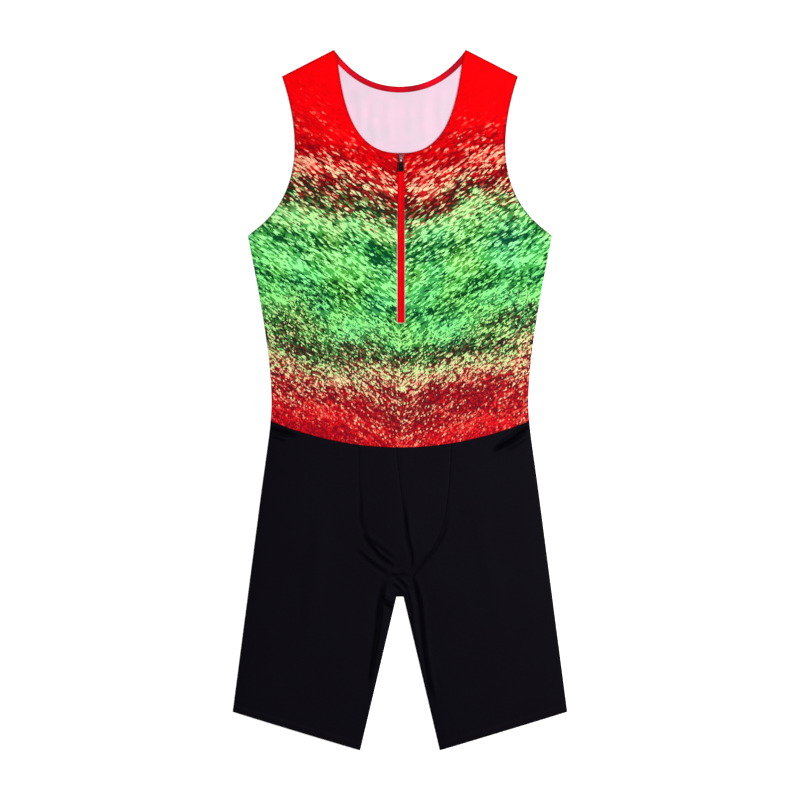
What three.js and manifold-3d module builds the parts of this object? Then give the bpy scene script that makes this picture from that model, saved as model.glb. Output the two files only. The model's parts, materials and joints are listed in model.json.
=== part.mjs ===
/**
 * Running compression suit, laid flat: a sleeveless printed top with a half zip, sewn to plain
 * knee shorts. The front faces up and the neck points to +Y, so the wearer's left is +X.
 * Millimetres, +Z up, with the origin under the middle of the suit on the surface it lies on.
 *
 * The back panels lie flat. The front panels lie on them and rise a little away from the side
 * seams, as the two layers of a laid garment do. Every panel is one wall of cloth.
 */
import * as THREE from "three";
import Module from "manifold-3d";

// Cloth and seams
const CLOTH = 1.2;
const BAND_CLOTH = 1.0;
const TAPE_CLOTH = 1.6;
const SEAM_GAP = 0.3;
const FRONT_BASE = CLOTH + SEAM_GAP;

// Outline of the wearer's left half; the right half mirrors it
const NECK_POINT = [87, 462.25];
const SHOULDER_TIP = [155.8, 427];
const UNDERARM = [200.6, 216.1];
const WAIST_SIDE = [170.7, -27.4];
const HIP = [184, -129];
const HEM_OUTER = [220.8, -411.3];
const HEM_INNER = [52.5, -462.25];
const CROTCH = [4.6, -259.5];
const GUSSET_FOOT = [6.6, -268];
const FRONT_NECK_DEPTH = 325.6;
const BACK_NECK_DEPTH = 413.6;
const WAIST_DIP = -62.4;

// Half zip, a little to the wearer's left of the middle
const ZIP_CENTRE = 1.3;
const ZIP_HALF_WIDTH = 4.6;
const ZIP_END = 101.9;
const SLIDER_NOTCH = 318;

// Neck band
const BAND_WIDTH = 8;
const BAND_STRAP_GAP = 0.6;

// How far the front layer stands off the back one, and how far in from an edge it has risen
const LOFT = 2.2;
const LOFT_REACH = 24;
const POUCH_SWELL = { rise: 1.6, x: 5, y: -165, halfWidth: 42, halfLength: 60 };

const { Shape, Vector2, Vector3 } = THREE;

const at = ([x, y], side = 1) => new Vector2(side * x, y);
const line = (a, b, side = 1) => new THREE.LineCurve(at(a, side), at(b, side));
const bend = (a, b, c, d, side = 1) =>
  new THREE.CubicBezierCurve(at(a, side), at(b, side), at(c, side), at(d, side));

// Edges and seams, each drawn from the top of the suit downwards
const shoulder = (side) => line(NECK_POINT, SHOULDER_TIP, side);
const armhole = (side) => bend(SHOULDER_TIP, [102, 265], [195, 226], UNDERARM, side);
const topSide = (side) => bend(UNDERARM, [185, 137], [164, 30], WAIST_SIDE, side);
const hipSide = (side) => bend(WAIST_SIDE, [172, -46], [178.1, -84], HIP, side);
const legSide = (side) => line(HIP, HEM_OUTER, side);
const innerLeg = (side) => line(GUSSET_FOOT, HEM_INNER, side);
const backNeck = (side) => bend(NECK_POINT, [59, 424], [29, 414], [0, BACK_NECK_DEPTH], side);

/** The front neckline from the neck point to the zip's edge at neckX. */
function frontNeck(side, neckX) {
  const end = new Vector2(neckX, FRONT_NECK_DEPTH);
  return new THREE.CubicBezierCurve(at(NECK_POINT, side), at([76.3, 456], side), at([85.5, 327], side), end);
}

/** The waist seam, a shallow dip across the front. */
function waistSeam(x) {
  const rise = WAIST_SIDE[1] - WAIST_DIP;
  return new Vector2(x, WAIST_DIP + rise * (x / WAIST_SIDE[0]) ** 2);
}

// Seams of the shorts front, which sit unevenly because the cloth was not pulled straight
const POUCH_TOP = { left: 67.6, middle: -5, right: -54.8 };
const GUSSET_LEFT = [18.5, -232];
const GUSSET_RIGHT = [-10, -219];
const gussetArc = bend(GUSSET_RIGHT, [0, -216.5], [15, -219], GUSSET_LEFT);
const MIDDLE_SEAM_SHARE = 0.72;
const middleFoot = gussetArc.getPointAt(MIDDLE_SEAM_SHARE);
const leftTop = waistSeam(POUCH_TOP.left).toArray();
const middleTop = waistSeam(POUCH_TOP.middle).toArray();
const rightTop = waistSeam(POUCH_TOP.right).toArray();
const pouchLeftSeam = bend(leftTop, [63, -205], [42, -190], GUSSET_LEFT);
const pouchMiddleSeam = bend(middleTop, [9, -213], [21, -183], middleFoot.toArray());
const pouchRightSeam = bend(rightTop, [-55, -208], [-28, -199], GUSSET_RIGHT);
const gussetLeftSeam = bend(GUSSET_LEFT, [18.5, -244], [14, -256], GUSSET_FOOT);
const gussetRightSeam = bend(GUSSET_RIGHT, [-18, -232], [-15, -254], at(GUSSET_FOOT, -1).toArray());

// Large soft folds of the front layer: a trough has a negative rise
const FOLDS = [
  { name: "waist, left", from: [168, -34], to: [112, -72], width: 9, rise: -1.1 },
  { name: "above it", from: [172, -22], to: [118, -52], width: 10, rise: 0.7 },
  { name: "waist, right", from: [-165, -33], to: [-132, -49], width: 9, rise: -0.6 },
  { name: "pouch, middle", from: [2, -125], to: [14, -208], width: 7, rise: -1.0 },
  { name: "pouch, right", from: [-38, -192], to: [-10, -217], width: 8, rise: -1.0 },
  { name: "leg, left", from: [20, -256], to: [38, -345], width: 8, rise: -0.7 },
  { name: "leg, right", from: [-20, -278], to: [-38, -365], width: 8, rise: -0.7 },
  { name: "chest, left", from: [60, 250], to: [170, 170], width: 18, rise: 0.6 },
  { name: "chest, right", from: [-50, 230], to: [-165, 190], width: 18, rise: 0.5 },
  { name: "midriff", from: [-110, 20], to: [90, 45], width: 20, rise: 0.4 },
];

const clamp01 = (t) => Math.min(1, Math.max(0, t));
const smooth = (t) => t * t * (3 - 2 * t);

/** How far out the side edge of the suit lies at a height y. */
const sideEdge = (() => {
  const curves = [armhole(1), topSide(1), hipSide(1), legSide(1)];
  const samples = curves.flatMap((curve) => curve.getPoints(60));
  return (y) => {
    const below = samples.findIndex((p) => p.y <= y);
    if (below < 0) return samples.at(-1).x;
    if (below === 0) return samples[0].x;
    const a = samples[below - 1];
    const b = samples[below];
    return a.x + ((b.x - a.x) * (a.y - y)) / Math.max(a.y - b.y, 1e-6);
  };
})();

/** How far in the inside leg lies, and below zero above the crotch, so that it fades there. */
function legGap(y) {
  const slope = (HEM_INNER[0] - CROTCH[0]) / (CROTCH[1] - HEM_INNER[1]);
  return y < CROTCH[1] ? CROTCH[0] + slope * (CROTCH[1] - y) : CROTCH[0] - (y - CROTCH[1]);
}

/** Distance below the shoulder seam. */
function belowShoulder(x, y) {
  const run = SHOULDER_TIP[0] - NECK_POINT[0];
  const drop = NECK_POINT[1] - SHOULDER_TIP[1];
  const along = (Math.abs(x) - NECK_POINT[0]) * drop + (y - NECK_POINT[1]) * run;
  return -along / Math.hypot(run, drop);
}

/** A soft fold's rise at a point: full along its middle, fading at its sides and its ends. */
function foldRise({ from, to, width, rise }, x, y) {
  const dx = to[0] - from[0];
  const dy = to[1] - from[1];
  const length = Math.hypot(dx, dy);
  const along = ((x - from[0]) * dx + (y - from[1]) * dy) / length;
  const across = ((x - from[0]) * dy - (y - from[1]) * dx) / length;
  const fadeIn = smooth(clamp01((along + width) / (2 * width)));
  const fadeOut = smooth(clamp01((length + width - along) / (2 * width)));
  return rise * fadeIn * fadeOut * Math.exp(-((across / width) ** 2));
}

/** How far the front layer's underside stands off the back layer's place. */
function loft(x, y) {
  const inFromEdges = Math.min(sideEdge(y) - Math.abs(x), Math.abs(x) - legGap(y), belowShoulder(x, y));
  const room = Math.max(0, inFromEdges);
  const full = 1 - Math.exp(-room / LOFT_REACH);
  const { rise, x: midX, y: midY, halfWidth, halfLength } = POUCH_SWELL;
  const pouch = rise * Math.exp(-(((x - midX) / halfWidth) ** 2) - ((y - midY) / halfLength) ** 2);
  const folds = FOLDS.reduce((sum, fold) => sum + foldRise(fold, x, y), 0);
  return Math.max(0, full * (LOFT + pouch + folds));
}

/** Even steps from one number to another, both ends included. */
function steps(from, to, count) {
  return Array.from({ length: count + 1 }, (_, i) => from + ((to - from) * i) / count);
}

/** Points along a curve at equal distances, over a share of its length. */
function curveRow(curve, count, from = 0, to = 1) {
  return steps(from, to, count).map((share) => curve.getPointAt(share));
}

/** Points along the waist seam. */
const waistRow = (fromX, toX, count) => steps(fromX, toX, count).map(waistSeam);

/** A path through several stretches of curve, with a set number of rows on each. */
function railPoints(stretches) {
  const runs = stretches.map(({ curve, from, to, rows }) => curveRow(curve, rows, from, to));
  return runs.flatMap((run, i) => (i === 0 ? run : run.slice(1)));
}

/** A net of points filled in between four edges that share their corners. */
function fillNet({ top, bottom, inner, outer }) {
  const rows = inner.length - 1;
  const columns = top.length - 1;
  return inner.map((inPoint, row) =>
    top.map((topPoint, column) => {
      const u = column / columns;
      const v = row / rows;
      const across = inPoint.clone().lerp(outer[row], u);
      const along = topPoint.clone().lerp(bottom[column], v);
      const topChord = top[0].clone().lerp(top[columns], u);
      const bottomChord = bottom[0].clone().lerp(bottom[columns], u);
      return across.add(along).sub(topChord.lerp(bottomChord, v));
    }),
  );
}

/** Draws the named edges of a net in by half the seam gap. */
function drawIn(net, edges) {
  const last = net.length - 1;
  const end = net[0].length - 1;
  const rings = {
    top: net[0].map((_, i) => [0, i, 1, i]),
    bottom: net[0].map((_, i) => [last, i, last - 1, i]),
    inner: net.map((_, i) => [i, 0, i, 1]),
    outer: net.map((_, i) => [i, end, i, end - 1]),
  };
  for (const edge of edges) {
    const ring = rings[edge];
    const moved = ring.map(([row, column, inRow, inColumn], i) => {
      const [rowA, columnA] = ring[Math.max(0, i - 1)];
      const [rowB, columnB] = ring[Math.min(ring.length - 1, i + 1)];
      const along = net[rowB][columnB].clone().sub(net[rowA][columnA]).normalize();
      const inward = new Vector2(-along.y, along.x);
      const towards = net[inRow][inColumn].clone().sub(net[row][column]);
      const sign = inward.dot(towards) < 0 ? -1 : 1;
      return net[row][column].clone().addScaledVector(inward, (sign * SEAM_GAP) / 2);
    });
    ring.forEach(([row, column], i) => net[row][column].copy(moved[i]));
  }
  return net;
}

/** The four-cornered cells of a net. */
function cellsOf(net) {
  const cells = [];
  for (let row = 0; row < net.length - 1; row += 1) {
    for (let column = 0; column < net[row].length - 1; column += 1) {
      cells.push([net[row][column], net[row + 1][column], net[row + 1][column + 1], net[row][column + 1]]);
    }
  }
  return cells;
}

/** One closed wall of cloth over cells that share corners: two skins and an edge all round. */
function clothWall(cells, bottomOf, thickness) {
  const corners = new Map();
  const places = [];
  const indexOf = (p) => {
    const key = `${Math.round(p.x * 1e3)} ${Math.round(p.y * 1e3)}`;
    if (!corners.has(key)) {
      corners.set(key, places.length);
      places.push(p);
    }
    return corners.get(key);
  };
  const triangles = [];
  for (const cell of cells) {
    const clockwise = THREE.ShapeUtils.area(cell) < 0;
    const [a, b, c, d] = (clockwise ? [...cell].reverse() : cell).map(indexOf);
    triangles.push([a, b, c], [a, c, d]);
  }
  const edges = new Map();
  for (const [a, b, c] of triangles) {
    for (const [from, to] of [[a, b], [b, c], [c, a]]) {
      if (!edges.delete(`${to} ${from}`)) edges.set(`${from} ${to}`, [from, to]);
    }
  }
  const count = places.length;
  const lower = places.map((p) => [p.x, p.y, bottomOf(p.x, p.y)]);
  const upper = lower.map(([x, y, z]) => [x, y, z + thickness]);
  const index = [];
  for (const [a, b, c] of triangles) {
    index.push(a, c, b, a + count, b + count, c + count);
  }
  for (const [from, to] of edges.values()) {
    index.push(from, to, to + count, from, to + count, from + count);
  }
  const geometry = new THREE.BufferGeometry();
  geometry.setAttribute("position", new THREE.Float32BufferAttribute([...lower, ...upper].flat(), 3));
  geometry.setIndex(index);
  geometry.computeVertexNormals();
  return geometry;
}

const finishes = {
  redPrint: { color: "#c8281f", roughness: 0.8, metalness: 0 },
  greenPrint: { color: "#3f9a4a", roughness: 0.8, metalness: 0 },
  blackKnit: { color: "#0f0e13", roughness: 0.75, metalness: 0 },
  redTape: { color: "#e50613", roughness: 0.7, metalness: 0 },
  greyMetal: { color: "#8c8c90", roughness: 0.35, metalness: 1 },
  blackPull: { color: "#111512", roughness: 0.5, metalness: 0 },
};

const suit = new THREE.Group();

/** Adds a named piece to the suit. */
function addPiece(name, geometry, finish, parent = suit) {
  const mesh = new THREE.Mesh(geometry, new THREE.MeshStandardMaterial(finishes[finish]));
  mesh.name = name;
  parent.add(mesh);
  return mesh;
}

const frontUnderside = (x, y) => FRONT_BASE + loft(x, y);

// ---- Front of the top: two halves that meet below the zip's end ----

const TOP_COLUMNS = 11;
const TOP_STRETCHES = [
  { name: "strap", rows: 9 },
  { name: "chest above the underarm", rows: 8 },
  { name: "along the zip", rows: 7 },
  { name: "below the zip", rows: 10 },
];
const STRAP_SHARE = 0.42; // of the armhole's length, down to the foot of the neckline
const ZIP_END_SHARE = 0.4; // of the side seam's length, down to the zip's end

/** One half of the front of the top, from the zip's edge to the side. */
function frontTopHalf(side) {
  const zipX = ZIP_CENTRE + side * ZIP_HALF_WIDTH;
  const [strap, chest, zip, belly] = TOP_STRETCHES.map((stretch) => stretch.rows);
  const zipEdge = (fromY, toY) => new THREE.LineCurve(new Vector2(zipX, fromY), new Vector2(zipX, toY));
  const inner = railPoints([
    { curve: frontNeck(side, zipX), rows: strap },
    { curve: zipEdge(FRONT_NECK_DEPTH, UNDERARM[1]), rows: chest },
    { curve: zipEdge(UNDERARM[1], ZIP_END), rows: zip },
    { curve: zipEdge(ZIP_END, waistSeam(zipX).y), rows: belly },
  ]);
  const outer = railPoints([
    { curve: armhole(side), to: STRAP_SHARE, rows: strap },
    { curve: armhole(side), from: STRAP_SHARE, rows: chest },
    { curve: topSide(side), to: ZIP_END_SHARE, rows: zip },
    { curve: topSide(side), from: ZIP_END_SHARE, rows: belly },
  ]);
  const top = curveRow(shoulder(side), TOP_COLUMNS);
  const bottom = waistRow(zipX, side * WAIST_SIDE[0], TOP_COLUMNS);
  return drawIn(fillNet({ top, bottom, inner, outer }), ["bottom"]);
}

const frontLeft = frontTopHalf(1);
const frontRight = frontTopHalf(-1);
const zipEndRow = TOP_STRETCHES[0].rows + TOP_STRETCHES[1].rows + TOP_STRETCHES[2].rows;
const belowZip = frontLeft.slice(zipEndRow).map((row, i) => [frontRight[zipEndRow + i][0], row[0]]);
addPiece(
  "front_top",
  clothWall([frontLeft, frontRight, belowZip].flatMap(cellsOf), frontUnderside, CLOTH),
  "redPrint",
);

// ---- Zip tapes, between the two edges of the slit ----

const TAPE_ROWS = 22;
const NOTCH_HALF_WIDTH = 1.3;

/** One tape, with its inner edge cut back at the top where the slider's post stands. */
function zipTape(side) {
  const slitX = ZIP_CENTRE + side * (ZIP_HALF_WIDTH - SEAM_GAP);
  const meetX = ZIP_CENTRE + (side * SEAM_GAP) / 2;
  const topY = FRONT_NECK_DEPTH - SEAM_GAP;
  const endY = ZIP_END + SEAM_GAP;
  const notchRows = 3;
  const notchX = ZIP_CENTRE + side * NOTCH_HALF_WIDTH;
  const line = (a, b) => new THREE.LineCurve(new Vector2(...a), new Vector2(...b));
  const stretch = (a, b, rows) => ({ curve: line(a, b), rows });
  const inner = railPoints([
    stretch([notchX, topY], [notchX, SLIDER_NOTCH + 1], notchRows - 1),
    stretch([notchX, SLIDER_NOTCH + 1], [meetX, SLIDER_NOTCH], 1),
    stretch([meetX, SLIDER_NOTCH], [meetX, endY], TAPE_ROWS),
  ]);
  const outer = railPoints([
    stretch([slitX, topY], [slitX, SLIDER_NOTCH], notchRows),
    stretch([slitX, SLIDER_NOTCH], [slitX, endY], TAPE_ROWS),
  ]);
  const top = [inner[0], outer[0]];
  const bottom = [inner.at(-1), outer.at(-1)];
  return clothWall(cellsOf(fillNet({ top, bottom, inner, outer })), frontUnderside, TAPE_CLOTH);
}

addPiece("zip_tape_left", zipTape(1), "redTape");
addPiece("zip_tape_right", zipTape(-1), "redTape");

// ---- Front of the shorts ----

const LEG_COLUMNS = 9;
const POUCH_COLUMNS = 4;
const POUCH_ROWS = 12;
const GUSSET_ROWS = 4;
const LEG_ROWS = 13;
const GUSSET_TOP_SHARE = 0.24; // of the leg's side below the hip, at the gusset's top
const GUSSET_FOOT_SHARE = 0.37;

/** A front leg, from the pouch seam, the gusset and the inside leg out to the side. */
function frontLeg(side, pouchSeam, gussetSeam, topX) {
  const hipRows = 4;
  const inner = railPoints([
    { curve: pouchSeam, rows: POUCH_ROWS },
    { curve: gussetSeam, rows: GUSSET_ROWS },
    { curve: innerLeg(side), rows: LEG_ROWS },
  ]);
  const outer = railPoints([
    { curve: hipSide(side), rows: hipRows },
    { curve: legSide(side), to: GUSSET_TOP_SHARE, rows: POUCH_ROWS - hipRows },
    { curve: legSide(side), from: GUSSET_TOP_SHARE, to: GUSSET_FOOT_SHARE, rows: GUSSET_ROWS },
    { curve: legSide(side), from: GUSSET_FOOT_SHARE, rows: LEG_ROWS },
  ]);
  const top = waistRow(topX, side * WAIST_SIDE[0], LEG_COLUMNS);
  const bottom = curveRow(line(HEM_INNER, HEM_OUTER, side), LEG_COLUMNS);
  const net = fillNet({ top, bottom, inner, outer });
  const seamRows = POUCH_ROWS + GUSSET_ROWS + 1;
  const seamPart = drawIn(net.slice(0, seamRows), ["top", "inner"]);
  return [...seamPart, ...net.slice(seamRows)];
}

const legLeft = frontLeg(1, pouchLeftSeam, gussetLeftSeam, POUCH_TOP.left);
const legRight = frontLeg(-1, pouchRightSeam, gussetRightSeam, POUCH_TOP.right);
addPiece("front_leg_left", clothWall(cellsOf(legLeft), frontUnderside, CLOTH), "blackKnit");
addPiece("front_leg_right", clothWall(cellsOf(legRight), frontUnderside, CLOTH), "blackKnit");

/** Half of the front panel between two seams, down to the gusset's arc. */
function pouchHalf(innerSeam, outerSeam, fromX, toX, arcFrom, arcTo) {
  const inner = curveRow(innerSeam, POUCH_ROWS);
  const outer = curveRow(outerSeam, POUCH_ROWS);
  const top = waistRow(fromX, toX, POUCH_COLUMNS);
  const bottom = curveRow(gussetArc, POUCH_COLUMNS, arcFrom, arcTo);
  const net = drawIn(fillNet({ top, bottom, inner, outer }), ["top", "bottom", "inner", "outer"]);
  return clothWall(cellsOf(net), frontUnderside, CLOTH);
}

const { left: pouchLeftX, middle: pouchMiddleX, right: pouchRightX } = POUCH_TOP;
const pouchLeft = pouchHalf(pouchMiddleSeam, pouchLeftSeam, pouchMiddleX, pouchLeftX, MIDDLE_SEAM_SHARE, 1);
const pouchRight = pouchHalf(
  pouchRightSeam,
  pouchMiddleSeam,
  pouchRightX,
  pouchMiddleX,
  0,
  MIDDLE_SEAM_SHARE,
);
addPiece("front_pouch_left", pouchLeft, "blackKnit");
addPiece("front_pouch_right", pouchRight, "blackKnit");

/** The gusset, from its arc down to the crotch and a little way along each inside leg. */
function crotchGusset() {
  const corners = [at(GUSSET_FOOT, -1), at(CROTCH, -1), at([0, CROTCH[1]]), at(CROTCH), at(GUSSET_FOOT)];
  const columns = corners.length - 1;
  const inner = curveRow(gussetRightSeam, GUSSET_ROWS);
  const outer = curveRow(gussetLeftSeam, GUSSET_ROWS);
  const net = fillNet({ top: curveRow(gussetArc, columns), bottom: corners, inner, outer });
  return clothWall(cellsOf(drawIn(net, ["top", "inner", "outer"])), frontUnderside, CLOTH);
}

addPiece("crotch_gusset", crotchGusset(), "blackKnit");

// ---- Back panels, flat on the surface ----

const EDGE_STEPS = 24;

/** A flat panel inside a closed run of curves. */
function flatPanel(curves) {
  const points = curves.flatMap((curve) => {
    const stepCount = curve instanceof THREE.LineCurve ? 1 : EDGE_STEPS;
    return curve.getSpacedPoints(stepCount).slice(0, -1);
  });
  return new THREE.ExtrudeGeometry(new Shape(points), { depth: CLOTH, bevelEnabled: false });
}

/** The same curve run the other way. */
function reversed(curve) {
  const back = curve.clone();
  const names = curve instanceof THREE.LineCurve ? ["v1", "v2"] : ["v0", "v1", "v2", "v3"];
  const values = names.map((name) => curve[name].clone()).reverse();
  names.forEach((name, i) => back[name].copy(values[i]));
  return back;
}

/** The waist seam as one curve from side to side, moved up or down by half the seam gap. */
function waistCurve(fromX, toX, lift) {
  const from = waistSeam(fromX);
  const to = waistSeam(toX);
  const slope = (2 * (WAIST_SIDE[1] - WAIST_DIP) * fromX) / WAIST_SIDE[0] ** 2;
  const middleX = (fromX + toX) / 2;
  const control = new Vector2(middleX, from.y + slope * (middleX - fromX));
  const toCubic = (end) => end.clone().lerp(control, 2 / 3);
  const rise = new Vector2(0, lift);
  const knots = [from, toCubic(from), toCubic(to), to].map((p) => p.clone().add(rise));
  return new THREE.CubicBezierCurve(...knots);
}

const half = SEAM_GAP / 2;
addPiece(
  "back_top",
  flatPanel([
    reversed(backNeck(1)),
    shoulder(1),
    armhole(1),
    topSide(1),
    waistCurve(WAIST_SIDE[0], -WAIST_SIDE[0], half),
    reversed(topSide(-1)),
    reversed(armhole(-1)),
    reversed(shoulder(-1)),
    backNeck(-1),
  ]),
  "greenPrint",
);

/** A back leg, from the centre-back seam to the side. */
function backLeg(side) {
  const middleX = side * half;
  const crotchTop = new Vector2(middleX, CROTCH[1]);
  const middleTop = waistSeam(middleX).add(new Vector2(0, -half));
  return flatPanel([
    new THREE.LineCurve(middleTop, crotchTop),
    new THREE.LineCurve(crotchTop, at(CROTCH, side)),
    line(CROTCH, HEM_INNER, side),
    line(HEM_INNER, HEM_OUTER, side),
    reversed(legSide(side)),
    reversed(hipSide(side)),
    waistCurve(side * WAIST_SIDE[0], middleX, -half),
  ]);
}

addPiece("back_leg_left", backLeg(1), "blackKnit");
addPiece("back_leg_right", backLeg(-1), "blackKnit");

// ---- Neck band, on the inside of the back neckline ----

const BAND_STEPS = 20;
const BAND_START = 0.06; // share of the neckline where the band comes out from under the strap

/** How far out the front neckline lies at a height y. */
function strapEdge(y) {
  const samples = frontNeck(1, 0).getPoints(120);
  const below = samples.findIndex((p) => p.y <= y);
  return samples[Math.max(0, below)].x;
}

/** The band's two edges along one half of the neckline, from the strap to the middle. */
function bandHalf(side) {
  const neckline = backNeck(1);
  return Array.from({ length: BAND_STEPS + 1 }, (_, i) => {
    const share = BAND_START + ((1 - BAND_START) * i) / BAND_STEPS;
    const edge = neckline.getPointAt(share);
    const along = neckline.getTangentAt(share);
    const inward = new Vector2(-along.y, along.x);
    let width = BAND_WIDTH;
    while (width > 1 && edge.x + inward.x * width > strapEdge(edge.y + inward.y * width) - BAND_STRAP_GAP) {
      width -= 0.25;
    }
    const far = edge.clone().addScaledVector(inward, width);
    return [edge, far].map((p) => new Vector2(side * p.x, p.y));
  });
}

const bandNet = [...bandHalf(-1), ...bandHalf(1).reverse().slice(1)];
addPiece("back_neck_band", clothWall(cellsOf(bandNet), () => FRONT_BASE, BAND_CLOTH), "redTape");

// ---- Slider and pull tab ----

const wasm = await Module();
wasm.setup();

/** A closed solid for joining, from a geometry whose corners are merged by place. */
function toSolid(geometry) {
  const source = geometry.index ? geometry.toNonIndexed() : geometry;
  const position = source.getAttribute("position");
  const places = new Map();
  const vertices = [];
  const triangles = [];
  for (let i = 0; i < position.count; i += 1) {
    const point = [position.getX(i), position.getY(i), position.getZ(i)];
    const key = point.map((value) => Math.round(value * 1e4)).join(" ");
    if (!places.has(key)) {
      places.set(key, vertices.length / 3);
      vertices.push(...point);
    }
    triangles.push(places.get(key));
  }
  const vertProperties = new Float32Array(vertices);
  const triVerts = new Uint32Array(triangles);
  return new wasm.Manifold(new wasm.Mesh({ numProp: 3, vertProperties, triVerts }));
}

/** Several closed geometries joined into one. */
function join(geometries) {
  const solid = geometries.map(toSolid).reduce((sum, next) => sum.add(next));
  const { vertProperties, triVerts } = solid.getMesh();
  const geometry = new THREE.BufferGeometry();
  geometry.setAttribute("position", new THREE.BufferAttribute(new Float32Array(vertProperties), 3));
  geometry.setIndex(new THREE.BufferAttribute(new Uint32Array(triVerts), 1));
  geometry.computeVertexNormals();
  return geometry;
}

/** A flat plate from z = bottom up, in the slider's own place. */
function plate(shape, bottom, thickness) {
  const options = { depth: thickness, bevelEnabled: false, curveSegments: 8 };
  return new THREE.ExtrudeGeometry(shape, options).translate(0, 0, bottom);
}

const SLIDER_LENGTH = 11.7;
const SLIDER_SHOULDER = 7.8;
const SLIDER_HEEL = 5.6;
const SLIDER_CORNER = 1.6;
const SLIDER_PLATE = 1.0;
const SLIDER_TOP_Y = 325.4;
const POST_WIDTH = 1.8;
const POST_LENGTH = 4.2;
const ARCH_WIDTH = 2.2;
const ARCH_LEG = 1.3;
const ARCH_FROM = -2.2 - ARCH_LEG;
const ARCH_TO = 2.2 + ARCH_LEG;
const PIVOT_RISE = 1.1;
const PIVOT_FROM_TOP = 6.9;
const BAR_RADIUS = 0.6;
const ARCH_CLEARANCE = 0.95;
const TAB_REST_ANGLE = THREE.MathUtils.degToRad(4);

const sliderHeelY = SLIDER_TOP_Y - SLIDER_LENGTH;
const pivotY = SLIDER_TOP_Y - PIVOT_FROM_TOP;
const tapeUnderside = frontUnderside(ZIP_CENTRE, pivotY);
const lowerPlateZ = tapeUnderside - SEAM_GAP - SLIDER_PLATE;
const upperPlateZ = tapeUnderside + TAPE_CLOTH + SEAM_GAP;
const pivotZ = upperPlateZ + SLIDER_PLATE + PIVOT_RISE;

/** The slider's plate outline: broad shoulders, a narrower heel, round corners. */
function sliderOutline() {
  const shoulderX = SLIDER_SHOULDER / 2;
  const heelX = SLIDER_HEEL / 2;
  const top = SLIDER_TOP_Y - pivotY;
  const heel = sliderHeelY - pivotY;
  const outline = new Shape();
  outline.moveTo(-shoulderX, top - SLIDER_CORNER);
  outline.quadraticCurveTo(-shoulderX, top, -shoulderX + SLIDER_CORNER, top);
  outline.lineTo(shoulderX - SLIDER_CORNER, top);
  outline.quadraticCurveTo(shoulderX, top, shoulderX, top - SLIDER_CORNER);
  outline.lineTo(heelX, heel + SLIDER_CORNER);
  outline.quadraticCurveTo(heelX, heel, heelX - SLIDER_CORNER, heel);
  outline.lineTo(-heelX + SLIDER_CORNER, heel);
  outline.quadraticCurveTo(-heelX, heel, -heelX, heel + SLIDER_CORNER);
  outline.closePath();
  return outline;
}

/** The post between the two plates, in the notch between the tapes. */
function sliderPost() {
  const top = SLIDER_TOP_Y - pivotY;
  const x = POST_WIDTH / 2;
  const foot = top - POST_LENGTH;
  const outline = new Shape([
    new Vector2(-x, top - 1),
    new Vector2(-x, foot + 1),
    new Vector2(0, foot),
    new Vector2(x, foot + 1),
    new Vector2(x, top - 1),
  ]);
  return plate(outline, lowerPlateZ - pivotZ + SLIDER_PLATE / 2, upperPlateZ - lowerPlateZ);
}

/** The arch over the pull tab's bar, drawn from the side and made ARCH_WIDTH wide. */
function sliderArch() {
  const foot = -PIVOT_RISE - SLIDER_PLATE / 2;
  const crown = ARCH_CLEARANCE + ARCH_LEG * 0.7;
  const outline = new Shape();
  outline.moveTo(ARCH_FROM, foot);
  outline.lineTo(ARCH_FROM, 0.2);
  outline.quadraticCurveTo(ARCH_FROM, crown, ARCH_FROM + 2, crown);
  outline.lineTo(ARCH_TO - 2, crown);
  outline.quadraticCurveTo(ARCH_TO, crown, ARCH_TO, 0.2);
  outline.lineTo(ARCH_TO, foot);
  outline.lineTo(ARCH_TO - ARCH_LEG, foot);
  outline.lineTo(ARCH_TO - ARCH_LEG, 0.2);
  outline.quadraticCurveTo(ARCH_TO - ARCH_LEG, ARCH_CLEARANCE, ARCH_TO - ARCH_LEG - 1, ARCH_CLEARANCE);
  outline.lineTo(ARCH_FROM + ARCH_LEG + 1, ARCH_CLEARANCE);
  outline.quadraticCurveTo(ARCH_FROM + ARCH_LEG, ARCH_CLEARANCE, ARCH_FROM + ARCH_LEG, 0.2);
  outline.lineTo(ARCH_FROM + ARCH_LEG, foot);
  outline.closePath();
  const options = { depth: ARCH_WIDTH, bevelEnabled: false, curveSegments: 6 };
  const [along, up, across] = [new Vector3(0, 1, 0), new Vector3(0, 0, 1), new Vector3(1, 0, 0)];
  const sideways = new THREE.Matrix4().makeBasis(along, up, across);
  const geometry = new THREE.ExtrudeGeometry(outline, options).applyMatrix4(sideways);
  return geometry.translate(-ARCH_WIDTH / 2, 0, 0);
}

const pullGroup = new THREE.Group();
pullGroup.position.set(ZIP_CENTRE, pivotY, pivotZ);
suit.add(pullGroup);

const slider = join([
  plate(sliderOutline(), upperPlateZ - pivotZ, SLIDER_PLATE),
  plate(sliderOutline(), lowerPlateZ - pivotZ, SLIDER_PLATE),
  sliderPost(),
  sliderArch(),
]);
addPiece("zip_slider", slider, "greyMetal", pullGroup);

const TAB_REACH = 17.6;
const TAB_HALF_WIDTH = 3.4;
const TAB_CORNER = 2.6;
const EYE_HALF_WIDTH = 1.6;
const EYE_REACH = 4.3;
const ARM_HALF_WIDTH = 2.8;
const SHOULDER_REACH = 5.4;

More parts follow.
